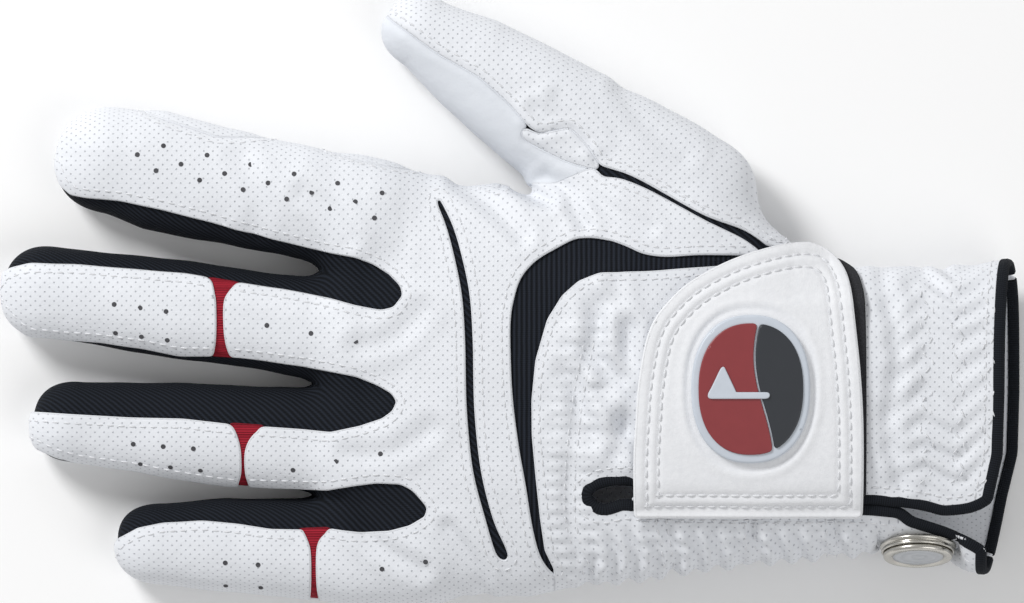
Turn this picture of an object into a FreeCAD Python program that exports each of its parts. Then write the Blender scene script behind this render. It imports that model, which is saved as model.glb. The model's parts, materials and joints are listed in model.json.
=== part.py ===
"""A left-hand golf glove lying palm down, sewn from separate leather, elastic and binding pieces.

Row frame, in millimetres: +Z up from the surface that the glove rests on, the fingers point along -X,
the thumb lies on the +Y side and the wrist opening faces +X. The origin is on the palm's resting face.
"""
import FreeCAD, Part
import math
import os

V = FreeCAD.Vector
doc = FreeCAD.newDocument("golf_glove")

# ---------------------------------------------------------------- driving dimensions
sheet = doc.addObject("Spreadsheet::Sheet", "dims")
GENERAL = {
    "skinThickness": 1.0,        # leather and its facing
    "seamHeight": 5.0,           # where the palm leather meets the back and the side walls
    "bluntness": 2.4,            # exponent of the superellipse sections
    "sectionRise": 0.46,         # height of a section's widest line, as a share of its height
    "baseRise": 3.0,             # how much higher a finger is at its base than at its knuckle
    "flexLength": 14.0,          # length of skin that bends at a finger knuckle
    "hingeHeight": 8.5,
    "cuffX": 111.2,              # wrist edge at mid height
    "cuffLean": 7.0,             # degrees by which the palm side reaches further than the back
    "bindingWidth": 2.3,
    "bindingProud": 0.6,         # how far the binding stands out of the skin, inside and out
    "slitBinding": 1.8,          # width of the binding along the slit
    "loopThickness": 0.9,
    "tabClearance": 0.3,
    "hookThickness": 0.8,
    "liningThickness": 0.6,
    "tabThickness": 0.8,
    "badgeThickness": 0.9,
    "badgeInlay": 0.4,
    "weltWidth": 3.0,
    "weltHeight": 2.5,
    "hingeSetback": 0.9,         # how far the tab starts from the line that it folds about
    "badgeX": 52.8,
    "badgeY": -19.0,
    "badgeHalfLength": 16.0,
    "badgeHalfWidth": 13.0,
    "badgeRim": 1.7,
    "seatX": 90.0,
    "seatY": -54.2,
    "seatZ": 14.6,
    "seatMargin": 1.6,           # flat leather left round the seat
    "seatTilt": 18.0,            # degrees above the horizontal
    "seatRadius": 9.0,
    "seatHeight": 2.6,
    "recessRadius": 8.15,
    "recessDepth": 1.1,
    "markerRadius": 7.9,
    "markerThickness": 1.5,
    "markerInlayRadius": 5.2,
    "markerInlayDepth": 0.3,
    "magnetRadius": 5.4,
    "magnetThickness": 1.0,
    "rivetRadius": 1.6,
    "rivetLength": 2.8,
    "washerRadius": 5.2,
    "washerThickness": 0.8,
    "elasticThickness": 0.7,
    "elasticWidth": 5.0,
}
# knuckle X and Y, turn from -X in degrees, length to the tip, length back into the hand,
# half widths at the base, knuckle, middle of the tip and near the tip, heights at the knuckle and the tip
FINGER_FIELDS = ("X", "Y", "Turn", "Tip", "Root", "BaseHalf", "KnuckleHalf", "MidHalf", "EndHalf",
                 "KnuckleHigh", "TipHigh")
FINGERS = {
    "index": (-62.0, 24.8, -12.3, 40.0, 30.0, 12.0, 12.3, 12.6, 11.6, 16.5, 14.0),
    "middle": (-64.3, -3.2, -7.8, 49.2, 34.0, 11.8, 11.0, 10.5, 10.2, 16.5, 14.0),
    "ring": (-59.3, -29.8, -4.4, 47.6, 32.0, 11.9, 11.3, 9.9, 8.9, 16.0, 13.5),
    "little": (-43.8, -54.6, -1.9, 44.0, 22.0, 10.6, 10.9, 10.2, 8.6, 15.0, 12.5),
    "thumb": (5.2, 43.2, -33.6, 38.2, 38.0, 15.5, 12.4, 10.4, 7.6, 17.5, 13.5),
}
row = 1
for alias, value in GENERAL.items():
    sheet.set(f"A{row}", alias)
    sheet.set(f"B{row}", str(value))
    sheet.setAlias(f"B{row}", alias)
    row += 1
for finger, values in FINGERS.items():
    for field, value in zip(FINGER_FIELDS, values):
        sheet.set(f"A{row}", finger + field)
        sheet.set(f"B{row}", str(value))
        sheet.setAlias(f"B{row}", finger + field)
        row += 1
doc.recompute()


def dim(alias):
    return float(sheet.get(alias))


SKIN = dim("skinThickness")
SEAM = dim("seamHeight")
BLUNT = dim("bluntness")
RISE = dim("sectionRise")
SKY = 60.0          # above everything, for the vertical prisms
FAR = 90.0          # beyond the glove to either side, for regions that are open outwards
BLOCK = 400.0       # edge of the blocks that fill half of space
BLOCK_ROOM = 2.0    # how much larger a block is than what it holds
SECTION_POINTS = 16
CUFF_MID = 12.0     # height at which the wrist edge is measured
DOME = 2.3          # how blunt the rounded ends of the fingers are
SQUASH = 0.65       # how much of its height a rounded end loses
TIP_ROUND = 1.15    # length of a rounded fingertip, in half widths
ROOT_ROUND = 0.75   # the same where a finger melts into the hand
ROOT_SHARES = (0.97, 0.8, 0.45)               # sections of the rounded root, as shares of its length
TIP_SHARES = (0.0, 0.38, 0.68, 0.88, 0.975)   # the same for the rounded tip
LAYER_FLOOR = 14.0  # the layers on the back of the hand start above this
SEWN_GAP = 0.1      # between a fold and the binding that it passes over

# Stations of the hand from the finger crotches to the wrist: X, the two edges in Y, and the height.
HAND = [
    (-33.0, -65.2, 30.2, 18.5),
    (-14.0, -64.2, 26.9, 23.0),
    (4.0, -64.8, 24.0, 25.0),
    (24.0, -61.8, 27.5, 26.5),
    (44.0, -59.2, 23.5, 26.6),
    (62.0, -57.2, 12.5, 26.4),
    (77.0, -55.6, 6.4, 26.0),
    (92.0, -57.6, 6.6, 24.4),
    (116.0, -60.2, 8.8, 25.6),
]

# Plan outlines of the pieces that are let into the back, as points on smooth curves.
KNUCKLE_SLIT_FRONT = [
    (-16.4, 21.4), (-12.4, 9.0), (-10.3, -7.0), (-9.9, -28.0), (-5.6, -47.5), (-3.0, -56.2),
]
KNUCKLE_SLIT_REAR = [(-1.0, -55.6), (-5.3, -43.7), (-8.1, -29.0), (-8.8, -7.0), (-10.8, 9.0), (-15.6, 21.6)]
STRETCH_OUTER = [
    (72.0, 8.4), (56.0, 9.6), (42.4, 10.0), (30.0, 10.0), (19.0, 13.7), (8.0, 10.6), (1.2, 2.4),
    (-0.3, -8.0), (1.3, -29.7), (4.4, -47.0), (8.2, -59.2),
]
STRETCH_INNER = [
    (9.6, -58.8), (6.4, -46.0), (4.3, -29.7), (4.6, -16.0), (8.6, -2.4), (15.6, 4.9), (30.6, 6.6),
    (46.0, 7.8), (72.0, 6.4),
]
THUMB_SEAM = [
    (3.0, 34.0), (10.0, 29.6), (19.2, 28.9), (33.3, 23.4), (46.8, 16.2), (57.0, 11.4), (62.0, 12.0),
]
THUMB_SLIT = [
    (19.0, 29.9), (24.5, 28.3), (33.3, 23.8), (46.8, 16.6), (56.8, 11.0), (56.0, 10.3), (46.5, 15.7),
    (33.0, 22.9), (24.3, 26.9), (20.2, 27.4),
]
THUMB_PALM = [(-40.0, 60.0), (3.0, 24.0), (26.0, 12.0), (58.0, 2.0), (70.0, FAR), (-40.0, FAR)]
WEB_PATCH = [
    (3.0, 39.5), (7.4, 37.4), (13.4, 38.2), (17.8, 33.4), (18.9, 29.9), (20.2, 27.4), (10.0, 29.6),
    (3.0, 34.0), (-4.0, 33.0), (-4.0, 40.0),
]
CROTCHES = {
    "index_middle": [(-75.0, 19.8), (-58.4, 15.2), (-38.2, 10.4), (-31.5, 8.6), (-26.4, 5.3), (-24.1, 1.6),
                     (-25.8, -1.4), (-31.5, -1.8), (-51.1, 2.6), (-75.0, 5.9)],
    "middle_ring": [(-72.0, -11.6), (-53.5, -13.5), (-38.2, -15.8), (-31.0, -17.9), (-26.4, -20.6),
                    (-25.3, -22.6), (-27.4, -25.3), (-33.5, -27.6), (-46.2, -28.5), (-70.0, -26.4)],
    "ring_little": [(-70.0, -40.0), (-47.1, -41.2), (-34.6, -40.6), (-24.0, -40.4), (-19.8, -44.0),
                    (-18.5, -46.4), (-22.0, -49.3), (-29.0, -51.2), (-40.4, -50.5), (-60.0, -49.6)],
}
# The lines that part each finger's back from its side walls, from the fingertip to the crotch.
INDEX_OUTER_SEAM = [
    (-100.0, 48.0), (-87.7, 44.0), (-79.9, 40.4), (-65.5, 36.0), (-51.5, 35.3), (-34.2, 30.8),
]
SIDE_LINES = {
    ("index", "little"): [(-104.0, 27.5), (-97.7, 23.8), (-86.8, 22.3), (-67.9, 18.0), (-51.1, 13.5)],
    ("middle", "thumb"): [(-116.0, 2.5), (-112.5, 6.0), (-106.6, 8.2), (-84.8, 6.9), (-50.0, 2.4)],
    ("middle", "little"): [(-116.0, 0.5), (-112.5, -2.0), (-107.4, -7.5), (-90.6, -9.0), (-50.0, -13.8)],
    ("ring", "thumb"): [(-110.0, -24.7), (-97.7, -25.1), (-72.8, -26.1), (-46.2, -28.4)],
    ("ring", "little"): [(-110.0, -32.5), (-95.9, -34.8), (-80.0, -36.6), (-70.4, -38.2), (-46.0, -40.6)],
    ("little", "thumb"): [(-90.0, -54.5), (-82.8, -50.4), (-68.8, -48.8), (-40.0, -50.4)],
}
# The stretch inserts across the knuckles: a flare, a thin neck and a smaller flare.
INSERTS = {
    "middle": [
        (-66.6, 9.0), (-60.2, 9.0), (-60.4, 4.5), (-63.9, 0.5), (-63.9, -8.0), (-62.6, -12.0),
        (-62.4, -16.0), (-66.4, -16.0), (-66.2, -12.0), (-65.5, -8.0), (-65.5, 0.5), (-66.2, 4.5),
    ],
    "ring": [
        (-62.4, -22.0), (-55.0, -22.0), (-55.5, -27.5), (-59.1, -32.0), (-59.1, -39.0), (-58.4, -42.0),
        (-58.2, -46.0), (-61.0, -46.0), (-60.8, -42.0), (-60.1, -39.0), (-60.1, -32.0), (-61.9, -27.5),
    ],
    "little": [
        (-47.4, -46.0), (-40.0, -46.0), (-40.4, -50.6), (-43.0, -54.0), (-43.0, -64.0), (-42.6, -70.0),
        (-45.0, -70.0), (-44.6, -64.0), (-44.6, -54.0), (-47.1, -50.6),
    ],
}
# The opening at the wrist: an eyelet, the straight slit under the tab, and a mouth that widens to the cuff.
SLIT = [
    (28.4, -44.0), (24.0, -38.4), (18.4, -39.2), (15.2, -43.0), (17.6, -46.2), (22.6, -46.6), (25.6, -45.6),
    (28.4, -45.2), (80.0, -45.2), (92.0, -49.2), (103.0, -54.4), (108.0, -60.0), (125.0, -61.0),
    (125.0, -35.5), (109.5, -35.5), (106.0, -41.0), (101.0, -45.0), (95.0, -46.4), (79.5, -44.0),
]
TAB_FRONT = [
    (27.4, -34.0), (27.8, -26.2), (29.2, -13.0), (33.0, -2.5), (40.0, 4.3), (49.3, 8.9), (62.0, 11.9),
]
TAB_CORNER = [(67.5, 11.7), (72.0, 8.2), (74.3, 2.0)]
TAB_REAR = [(76.2, -14.0), (76.9, -26.2)]
TAB_ROOT_Y = -46.4
LOOP_PAD = [
    (34.0, -41.8), (34.0, -10.0), (42.0, 1.0), (55.0, 7.6), (68.0, 9.6), (74.6, 7.0), (77.6, 2.4),
    (78.6, -22.0), (79.0, -41.8),
]
HOOK_PAD = [
    (35.0, -40.0), (35.0, -12.0), (42.5, -1.0), (55.0, 5.6), (67.0, 7.4), (70.6, 2.0), (73.0, -24.0),
    (73.0, -40.0),
]
CUFF_ELASTIC = [(82.0, -38.0), (103.0, -38.0), (103.0, 0.0), (82.0, 0.0)]
SIDE_ELASTIC = [(14.0, -56.5), (76.0, -53.0), (76.0, -49.6), (14.0, -52.0)]

# The picture on the badge, measured from its centre: a hill that starts at its crest line, and a flag.
HILL_CREST = [(5.0, -41.0), (1.4, 0.0), (5.6, 39.0)]
FLAG = [(6.0, -1.5), (-9.0, -1.5), (-9.0, -0.5), (-8.6, 5.8), (-2.6, -0.5), (6.0, -0.5)]


# ---------------------------------------------------------------- outlines and prisms
def spline(points):
    curve = Part.BSplineCurve()
    curve.interpolate([V(x, y, 0) for x, y in points])
    return curve.toShape()


def line(start, end):
    return Part.LineSegment(V(*start, 0), V(*end, 0)).toShape()


def chain(*runs):
    """A closed wire from runs of points: a run of two points is a line, a longer one a smooth curve."""
    edges = [spline(run) if len(run) > 2 else line(*run) for run in runs]
    return Part.Wire(edges)


def polygon(points):
    return Part.makePolygon([V(x, y, 0) for x, y in [*points, points[0]]])


def prism(wire, low=-1.0, high=SKY):
    face = Part.Face(wire)
    face.translate(V(0, 0, low))
    return face.extrude(V(0, 0, high - low))


# ---------------------------------------------------------------- the stuffed form that the skin follows
def section(place, across, half, centre, high):
    """A closed superellipse about a point, in the plane of across and Z: half wide and high each way."""
    points = []
    for k in range(SECTION_POINTS):
        turn = 2 * math.pi * k / SECTION_POINTS
        c, s = math.cos(turn), math.sin(turn)
        out = math.copysign(abs(c) ** (2 / BLUNT), c) * half
        up = math.copysign(abs(s) ** (2 / BLUNT), s) * high
        points.append(place + across * out + V(0, 0, centre + up))
    curve = Part.BSplineCurve()
    spacing = [float(k) for k in range(SECTION_POINTS + 1)]
    curve.interpolate(Points=points, PeriodicFlag=True, Parameters=spacing)
    return Part.Wire(curve.toShape())


def floor_cut(solid, offset):
    """Flattens the underside where the glove rests."""
    return solid.common(slab(max(0.0, -offset), SKY))


def hand_form(offset):
    wires = []
    for x, y0, y1, high in HAND:
        shift = -offset if x == HAND[0][0] else 0.0
        place = V(x + shift, (y0 + y1) / 2, 0)
        half = (y1 - y0) / 2 + offset
        wires.append(section(place, V(0, 1, 0), half, RISE * high, (1 - RISE) * high + offset))
    return floor_cut(Part.makeLoft(wires, True, False), offset)


def finger_frame(name):
    """The knuckle's place, the direction to the tip and the direction across."""
    turn = math.radians(180 + dim(name + "Turn"))
    along = V(math.cos(turn), math.sin(turn), 0)
    across = V(-math.sin(turn), math.cos(turn), 0)
    return V(dim(name + "X"), dim(name + "Y"), 0), along, across


def finger_form(name, offset):
    place, along, across = finger_frame(name)
    tip, root = dim(name + "Tip"), dim(name + "Root")
    base_half, end_half = dim(name + "BaseHalf"), dim(name + "EndHalf")
    knuckle_high, tip_high = dim(name + "KnuckleHigh"), dim(name + "TipHigh")
    base_high = knuckle_high + dim("baseRise")
    knuckle_half = dim(name + "KnuckleHalf")
    base_round, end_round = ROOT_ROUND * base_half, TIP_ROUND * end_half

    def rounded(reach, half, high, share):
        shrink = math.sqrt(1 - share ** DOME)
        return reach, half * shrink, high * (1 - SQUASH + SQUASH * shrink), high

    stations = [rounded(-root - base_round * share, base_half, base_high, share) for share in ROOT_SHARES]
    stations += [
        (-root, base_half, base_high, base_high),
        (-0.5 * root, (base_half + knuckle_half) / 2, (base_high + knuckle_high) / 2, knuckle_high),
        (0.0, knuckle_half, knuckle_high, knuckle_high),
        (0.45 * tip, dim(name + "MidHalf"), (knuckle_high + tip_high) / 2, tip_high),
    ]
    stations += [rounded(tip - end_round * (1 - share), end_half, tip_high, share) for share in TIP_SHARES]
    wires = []
    for run, half, high, level in stations:
        reach = run + (offset if run > 0.5 * tip else 0.0)
        above = (1 - RISE) * high + offset
        wires.append(section(place + along * reach, across, half + offset, RISE * level, above))
    return floor_cut(Part.makeLoft(wires, True, False), offset)


# ---------------------------------------------------------------- cutting planes
def half_space(place, normal):
    """A block that fills the side of a plane that its normal points to."""
    block = Part.makeBox(BLOCK, BLOCK, BLOCK, V(-BLOCK / 2, -BLOCK / 2, 0))
    block.Placement = FreeCAD.Placement(place, FreeCAD.Rotation(V(0, 0, 1), normal))
    return block


def cuff_side(reach):
    """Everything beyond the wrist edge, moved towards the arm by reach."""
    lean = math.radians(dim("cuffLean"))
    return half_space(V(dim("cuffX") + reach, 0, CUFF_MID), V(math.cos(lean), 0, math.sin(lean)))


def knuckle_side(name, reach):
    """Everything that lies further towards the fingertip than a plane at reach from the knuckle."""
    place, along, _ = finger_frame(name)
    return half_space(place + along * reach, along)


def slab(low, high):
    return Part.makeBox(BLOCK, BLOCK, high - low, V(-BLOCK / 2, -BLOCK / 2, low))


def block_around(shape):
    """A block that holds a shape, with a little room on every side."""
    box = shape.BoundBox
    box.enlarge(BLOCK_ROOM)
    return Part.makeBox(box.XLength, box.YLength, box.ZLength, V(box.XMin, box.YMin, box.ZMin))


def largest(shape):
    """The one solid that a piece is, without the crumbs that a cut leaves at a corner."""
    return max(shape.Solids, key=lambda solid: solid.Volume)


def joined(shapes):
    return shapes[0].fuse(shapes[1:])


# ---------------------------------------------------------------- the flat spot for the ball marker's seat
seat_lean = math.radians(dim("seatTilt"))
SEAT_AXIS = V(0, -math.cos(seat_lean), math.sin(seat_lean))
SEAT_PLACE = V(dim("seatX"), dim("seatY"), dim("seatZ"))
rivet_hole = Part.makeCylinder(dim("rivetRadius") + 0.1, 12.0, SEAT_PLACE - SEAT_AXIS * 9.0, SEAT_AXIS)


def flat_spot(radius, depth):
    """What is pressed in from the side of the wrist, so that the round seat lies flat."""
    return Part.makeCylinder(radius, 30.0, SEAT_PLACE - SEAT_AXIS * depth, SEAT_AXIS)


# ---------------------------------------------------------------- the skins before they are cut into pieces
FLEX = dim("flexLength") / 2
EDGE = dim("bindingWidth")
SPOT = dim("seatRadius") + dim("seatMargin")
outer = {name: finger_form(name, 0.0) for name in FINGERS}
inner = {name: finger_form(name, -SKIN) for name in FINGERS}
stubs_outer = [outer[name].cut(knuckle_side(name, -FLEX)) for name in FINGERS]
hand_outer = joined([hand_form(0.0), *stubs_outer]).cut(cuff_side(-EDGE)).cut(flat_spot(SPOT, 0.0))
hand_inner = joined([hand_form(-SKIN), *inner.values()]).cut(flat_spot(SPOT + SKIN, SKIN))
hand_skin = hand_outer.cut(hand_inner)
finger_skins = {name: outer[name].cut(inner[name]) for name in FINGERS}
rings = {name: finger_skins[name].common(knuckle_side(name, -FLEX)).cut(knuckle_side(name, FLEX))
         for name in FINGERS}
tips = {name: finger_skins[name].common(knuckle_side(name, FLEX)) for name in FINGERS}


def layer(room, low, high):
    """The share of a room that lies between two distances from the outside of the hand's skin."""
    return room.common(hand_form(high)).cut(hand_form(low).common(room))


def over_hand(wire, low, high):
    """A layer that follows the back of the hand, inside a plan outline."""
    return layer(prism(wire, LAYER_FLOOR), low, high)


# ---------------------------------------------------------------- outlines in use
def grown(wire, amount):
    return wire.makeOffset2D(amount)


def between(front, rear):
    """The wire round a strip from its front curve and its rear curve, which runs the other way."""
    return chain(front, [front[-1], rear[0]], rear, [rear[-1], front[0]])


def beyond(border, direction):
    """The region beside a border: direction is 1 for the thumb's side, -1 for the little finger's."""
    far = FAR * direction
    return prism(polygon([*border, (border[-1][0], far), (border[0][0], far)]))


knuckle_slit = between(KNUCKLE_SLIT_FRONT, KNUCKLE_SLIT_REAR)
stretch = between(STRETCH_OUTER, STRETCH_INNER)
thumb_far = [(70.0, FAR), (-60.0, FAR), (-9.0, 34.0)]
thumb_region = chain(THUMB_SEAM, [THUMB_SEAM[-1], thumb_far[0]], thumb_far[:2], thumb_far[1:],
                     [thumb_far[-1], THUMB_SEAM[0]])
wrist_far = [(72.0, 30.0), (130.0, 30.0), (130.0, -FAR), (STRETCH_INNER[0][0] - 1.4, -FAR)]
wrist_region = chain(STRETCH_INNER, [STRETCH_INNER[-1], wrist_far[0]], wrist_far[:2], wrist_far[1:3],
                     wrist_far[2:], [wrist_far[-1], STRETCH_INNER[0]])
slit_wire = polygon(SLIT)
slit_low = RISE * HAND[-2][3]
slit_open = prism(slit_wire, slit_low)
slit_room = prism(grown(slit_wire, dim("slitBinding")), slit_low)
root_x0, root_x1 = TAB_FRONT[0][0], TAB_REAR[-1][0]
root_ends = [(root_x1, TAB_ROOT_Y), (root_x0, TAB_ROOT_Y)]
tab_outline = chain([root_ends[1], TAB_FRONT[0]], TAB_FRONT, [TAB_FRONT[-1], TAB_CORNER[0]], TAB_CORNER,
                    TAB_CORNER[-1:] + TAB_REAR, [TAB_REAR[-1], root_ends[0]], root_ends)


# ---------------------------------------------------------------- pieces of the hand
pieces = {}
upper_skin = hand_skin.common(slab(SEAM, SKY))
lower_skin = hand_skin.common(slab(-1.0, SEAM))
thumb_palm = prism(polygon(THUMB_PALM))
index_side = beyond(INDEX_OUTER_SEAM[3:], 1)
# Each region takes its share of the skin that the ones before it left.
REGIONS = [
    ("slit_edge", slit_room),
    ("thumb_gusset", prism(polygon(THUMB_SLIT))),
    ("knuckle_flex_gusset", prism(knuckle_slit)),
    ("back_stretch_panel", prism(stretch)),
    ("web_patch", prism(polygon(WEB_PATCH))),
    *[("fourchette_" + name, prism(polygon(points))) for name, points in CROTCHES.items()],
    ("thumb_base_back", prism(thumb_region)),
    ("index_side_wall", index_side),
    ("wrist_back_panel", prism(wrist_region)),
]
remainder = upper_skin
for name, region in REGIONS:
    pieces[name] = remainder.common(region)
    remainder = remainder.cut(region)
pieces["back_panel"] = remainder
pieces["palm_leather"] = lower_skin.cut(thumb_palm).fuse(pieces.pop("index_side_wall"))
pieces["thumb_base_front"] = lower_skin.common(thumb_palm)
del pieces["slit_edge"]
pieces["wrist_back_panel"] = pieces["wrist_back_panel"].cut(rivet_hole)

bound = dim("bindingProud")
edge_room = cuff_side(-EDGE).cut(cuff_side(bound))
pieces["cuff_binding"] = layer(edge_room, -SKIN - bound, bound).cut(slit_open)
slit_edge = slit_room.cut(slit_open).cut(cuff_side(-EDGE))
around = block_around(slit_edge)
slit_layer = slit_edge.common(hand_form(bound).common(around))
slit_bead = slit_layer.cut(hand_form(-SKIN - bound).common(around))
pieces["slit_binding"] = slit_bead.cut(flat_spot(SPOT, 0.0))

pieces["loop_pad"] = over_hand(polygon(LOOP_PAD), 0.0, dim("loopThickness"))
elastic = dim("elasticThickness")
pieces["cuff_elastic"] = over_hand(polygon(CUFF_ELASTIC), -SKIN - elastic, -SKIN)
pieces["side_elastic"] = over_hand(polygon(SIDE_ELASTIC), -SKIN - elastic, -SKIN)

hook_low = dim("loopThickness") + dim("tabClearance")
lining_low = hook_low + dim("hookThickness")
tab_low = lining_low + dim("liningThickness")
tab_high = tab_low + dim("tabThickness")
hinge_y = TAB_ROOT_Y - dim("hingeSetback")
welt_y = hinge_y - dim("weltWidth")
welt = polygon([(root_x0, welt_y), (root_x1, welt_y), (root_x1, hinge_y), (root_x0, hinge_y)])
pieces["tab_root_welt"] = over_hand(welt, 0.0, dim("weltHeight"))
fold = polygon([(root_x0, hinge_y), (root_x1, hinge_y), *root_ends])
pieces["tab_fold"] = over_hand(fold, bound + SEWN_GAP, tab_high)
pieces["hook_pad"] = over_hand(polygon(HOOK_PAD), hook_low, lining_low)
pieces["tab_lining"] = over_hand(tab_outline, lining_low, tab_low)
pieces["tab_outer"] = over_hand(tab_outline, tab_low, tab_high)

# ---------------------------------------------------------------- pieces of the fingers
for name in FINGERS:
    tip_upper = tips[name].common(slab(SEAM, SKY))
    front = tips[name].common(slab(-1.0, SEAM))
    if name == "index":
        outer_wall = beyond(INDEX_OUTER_SEAM[:4], 1)
        front = front.fuse(tip_upper.common(outer_wall))
        tip_upper = tip_upper.cut(outer_wall)
    for (finger, side), border in SIDE_LINES.items():
        if finger == name:
            wall = beyond(border, 1 if side == "thumb" else -1)
            pieces[f"{name}_side_{side}ward"] = tip_upper.common(wall)
            tip_upper = tip_upper.cut(wall)
    pieces[f"{name}_tip_front"] = front
    pieces[f"{name}_tip_back"] = tip_upper
    skin = rings[name]
    if name in INSERTS:
        insert = skin.common(prism(polygon(INSERTS[name]), SEAM))
        skin = skin.cut(insert)
        pieces[f"{name}_knuckle_insert"] = insert
    pieces[f"{name}_knuckle_skin"] = skin


# ---------------------------------------------------------------- the badge on the tab
def badge_oval(inset):
    half_x, half_y = dim("badgeHalfWidth") - inset, dim("badgeHalfLength") - inset
    oval = Part.Ellipse(V(0, 0, 0), half_y, half_x).toShape()
    oval.rotate(V(0, 0, 0), V(0, 0, 1), 90)
    oval.translate(V(dim("badgeX"), dim("badgeY"), 0))
    return Part.Wire([oval])


def on_badge(points):
    return [(dim("badgeX") + x, dim("badgeY") + y) for x, y in points]


badge_top = tab_high + dim("badgeThickness")
field_top = badge_top + dim("badgeInlay")
emblem_top = field_top + dim("badgeInlay")
fields = over_hand(badge_oval(dim("badgeRim")), badge_top, field_top)
crest = on_badge(HILL_CREST)
past_badge = [(FAR, crest[-1][1]), (FAR, crest[0][1])]
hill_wire = chain(crest, [crest[-1], past_badge[0]], past_badge, [past_badge[1], crest[0]])
hill = prism(hill_wire, LAYER_FLOOR)
pieces["badge_base"] = over_hand(badge_oval(0.0), tab_high, badge_top)
pieces["badge_upper_field"] = fields.cut(hill)
pieces["badge_lower_field"] = fields.common(hill)
pieces["badge_emblem"] = over_hand(polygon(on_badge(FLAG)), field_top, emblem_top)

# ---------------------------------------------------------------- the document's objects
for name, shape in pieces.items():
    piece = doc.addObject("Part::Feature", name)
    piece.Label = name
    piece.Shape = largest(shape)
    piece.Placement = FreeCAD.Placement()


def turned_piece(label, cylinders):
    """A round metal piece on the seat's axis, from cylinders given as kind, radius, height and start."""
    body = doc.addObject("PartDesign::Body", label)
    body.Label = label
    for k, (kind, radius, height, start) in enumerate(cylinders):
        solid = body.newObject(f"PartDesign::{kind}Cylinder", f"{label}_{k}")
        solid.setExpression("Radius", radius)
        solid.setExpression("Height", height)
        solid.setExpression(".Placement.Base.z", start)
    body.Placement = FreeCAD.Placement(SEAT_PLACE, FreeCAD.Rotation(V(0, 0, 1), SEAT_AXIS))
    doc.recompute()
    return body


recess_floor = "dims.seatHeight - dims.recessDepth"
magnet_floor = recess_floor + " - dims.magnetThickness"
inlay_floor = recess_floor + " + dims.markerThickness - dims.markerInlayDepth"
turned_piece("marker_seat", [
    ("Additive", "dims.seatRadius", "dims.seatHeight", "0"),
    ("Additive", "dims.rivetRadius", "dims.rivetLength", "-dims.rivetLength"),
    ("Subtractive", "dims.recessRadius", "dims.recessDepth", recess_floor),
    ("Subtractive", "dims.magnetRadius", "dims.magnetThickness", magnet_floor),
])
turned_piece("marker_magnet", [("Additive", "dims.magnetRadius", "dims.magnetThickness", magnet_floor)])
turned_piece("seat_washer", [
    ("Additive", "dims.washerRadius", "dims.washerThickness", "-dims.rivetLength"),
    ("Subtractive", "dims.rivetRadius", "dims.washerThickness", "-dims.rivetLength"),
])
turned_piece("marker_disc", [
    ("Additive", "dims.markerRadius", "dims.markerThickness", recess_floor),
    ("Subtractive", "dims.markerInlayRadius", "dims.markerInlayDepth", inlay_floor),
])
turned_piece("marker_inlay", [
    ("Additive", "dims.markerInlayRadius", "dims.markerInlayDepth", inlay_floor),
])
doc.recompute()

# ---------------------------------------------------------------- checks and export
os.makedirs("parts", exist_ok=True)
for thing in doc.Objects:
    if "Invalid" in thing.State or "Error" in thing.State:
        raise RuntimeError(f"{thing.Label} did not compute: {thing.State}")
    if thing.TypeId not in ("Part::Feature", "PartDesign::Body"):
        continue
    shape = thing.Shape
    if shape.isNull() or not shape.isValid() or len(shape.Solids) != 1 or shape.Volume < 0.5:
        raise RuntimeError(f"{thing.Label} is not one sound solid")
    shape.exportStep(f"parts/{thing.Label}.step")
    print(f"{thing.Label:26s} {shape.Volume:9.1f} mm3")
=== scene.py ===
"""A left-hand golf glove, stuffed and lying palm down, built over the CAD frame.

Lengths here are millimetres in the CAD frame; mesh_object() turns them into metres.
The glove is one stuffed form. Each leather, knit and elastic piece is the share of that form inside a plan
outline, lifted off it by its own thickness, with a rolled edge.
"""
import bpy
import math
import json
import numpy as np
import openvdb
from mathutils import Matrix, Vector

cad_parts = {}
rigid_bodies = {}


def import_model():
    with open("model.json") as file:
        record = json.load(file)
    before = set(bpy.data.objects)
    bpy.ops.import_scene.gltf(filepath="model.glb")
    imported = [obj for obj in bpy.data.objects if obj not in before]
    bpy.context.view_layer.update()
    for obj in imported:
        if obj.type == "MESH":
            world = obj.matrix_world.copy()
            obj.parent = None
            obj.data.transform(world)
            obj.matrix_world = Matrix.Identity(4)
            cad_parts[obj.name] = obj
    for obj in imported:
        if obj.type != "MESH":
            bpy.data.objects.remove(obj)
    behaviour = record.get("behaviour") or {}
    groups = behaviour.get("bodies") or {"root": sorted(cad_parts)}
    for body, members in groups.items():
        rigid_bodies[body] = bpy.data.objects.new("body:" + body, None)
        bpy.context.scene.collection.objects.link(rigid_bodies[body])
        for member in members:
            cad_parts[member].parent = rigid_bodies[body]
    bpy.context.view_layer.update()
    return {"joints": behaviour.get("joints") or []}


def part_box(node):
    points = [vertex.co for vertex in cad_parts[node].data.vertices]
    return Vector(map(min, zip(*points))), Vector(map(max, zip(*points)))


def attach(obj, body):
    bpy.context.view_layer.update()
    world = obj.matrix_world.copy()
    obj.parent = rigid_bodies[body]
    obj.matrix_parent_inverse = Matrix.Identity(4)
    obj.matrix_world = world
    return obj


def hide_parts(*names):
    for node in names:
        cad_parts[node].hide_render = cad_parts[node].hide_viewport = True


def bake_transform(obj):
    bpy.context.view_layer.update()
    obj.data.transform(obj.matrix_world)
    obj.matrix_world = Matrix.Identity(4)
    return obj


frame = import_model()
MM = 0.001

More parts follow.
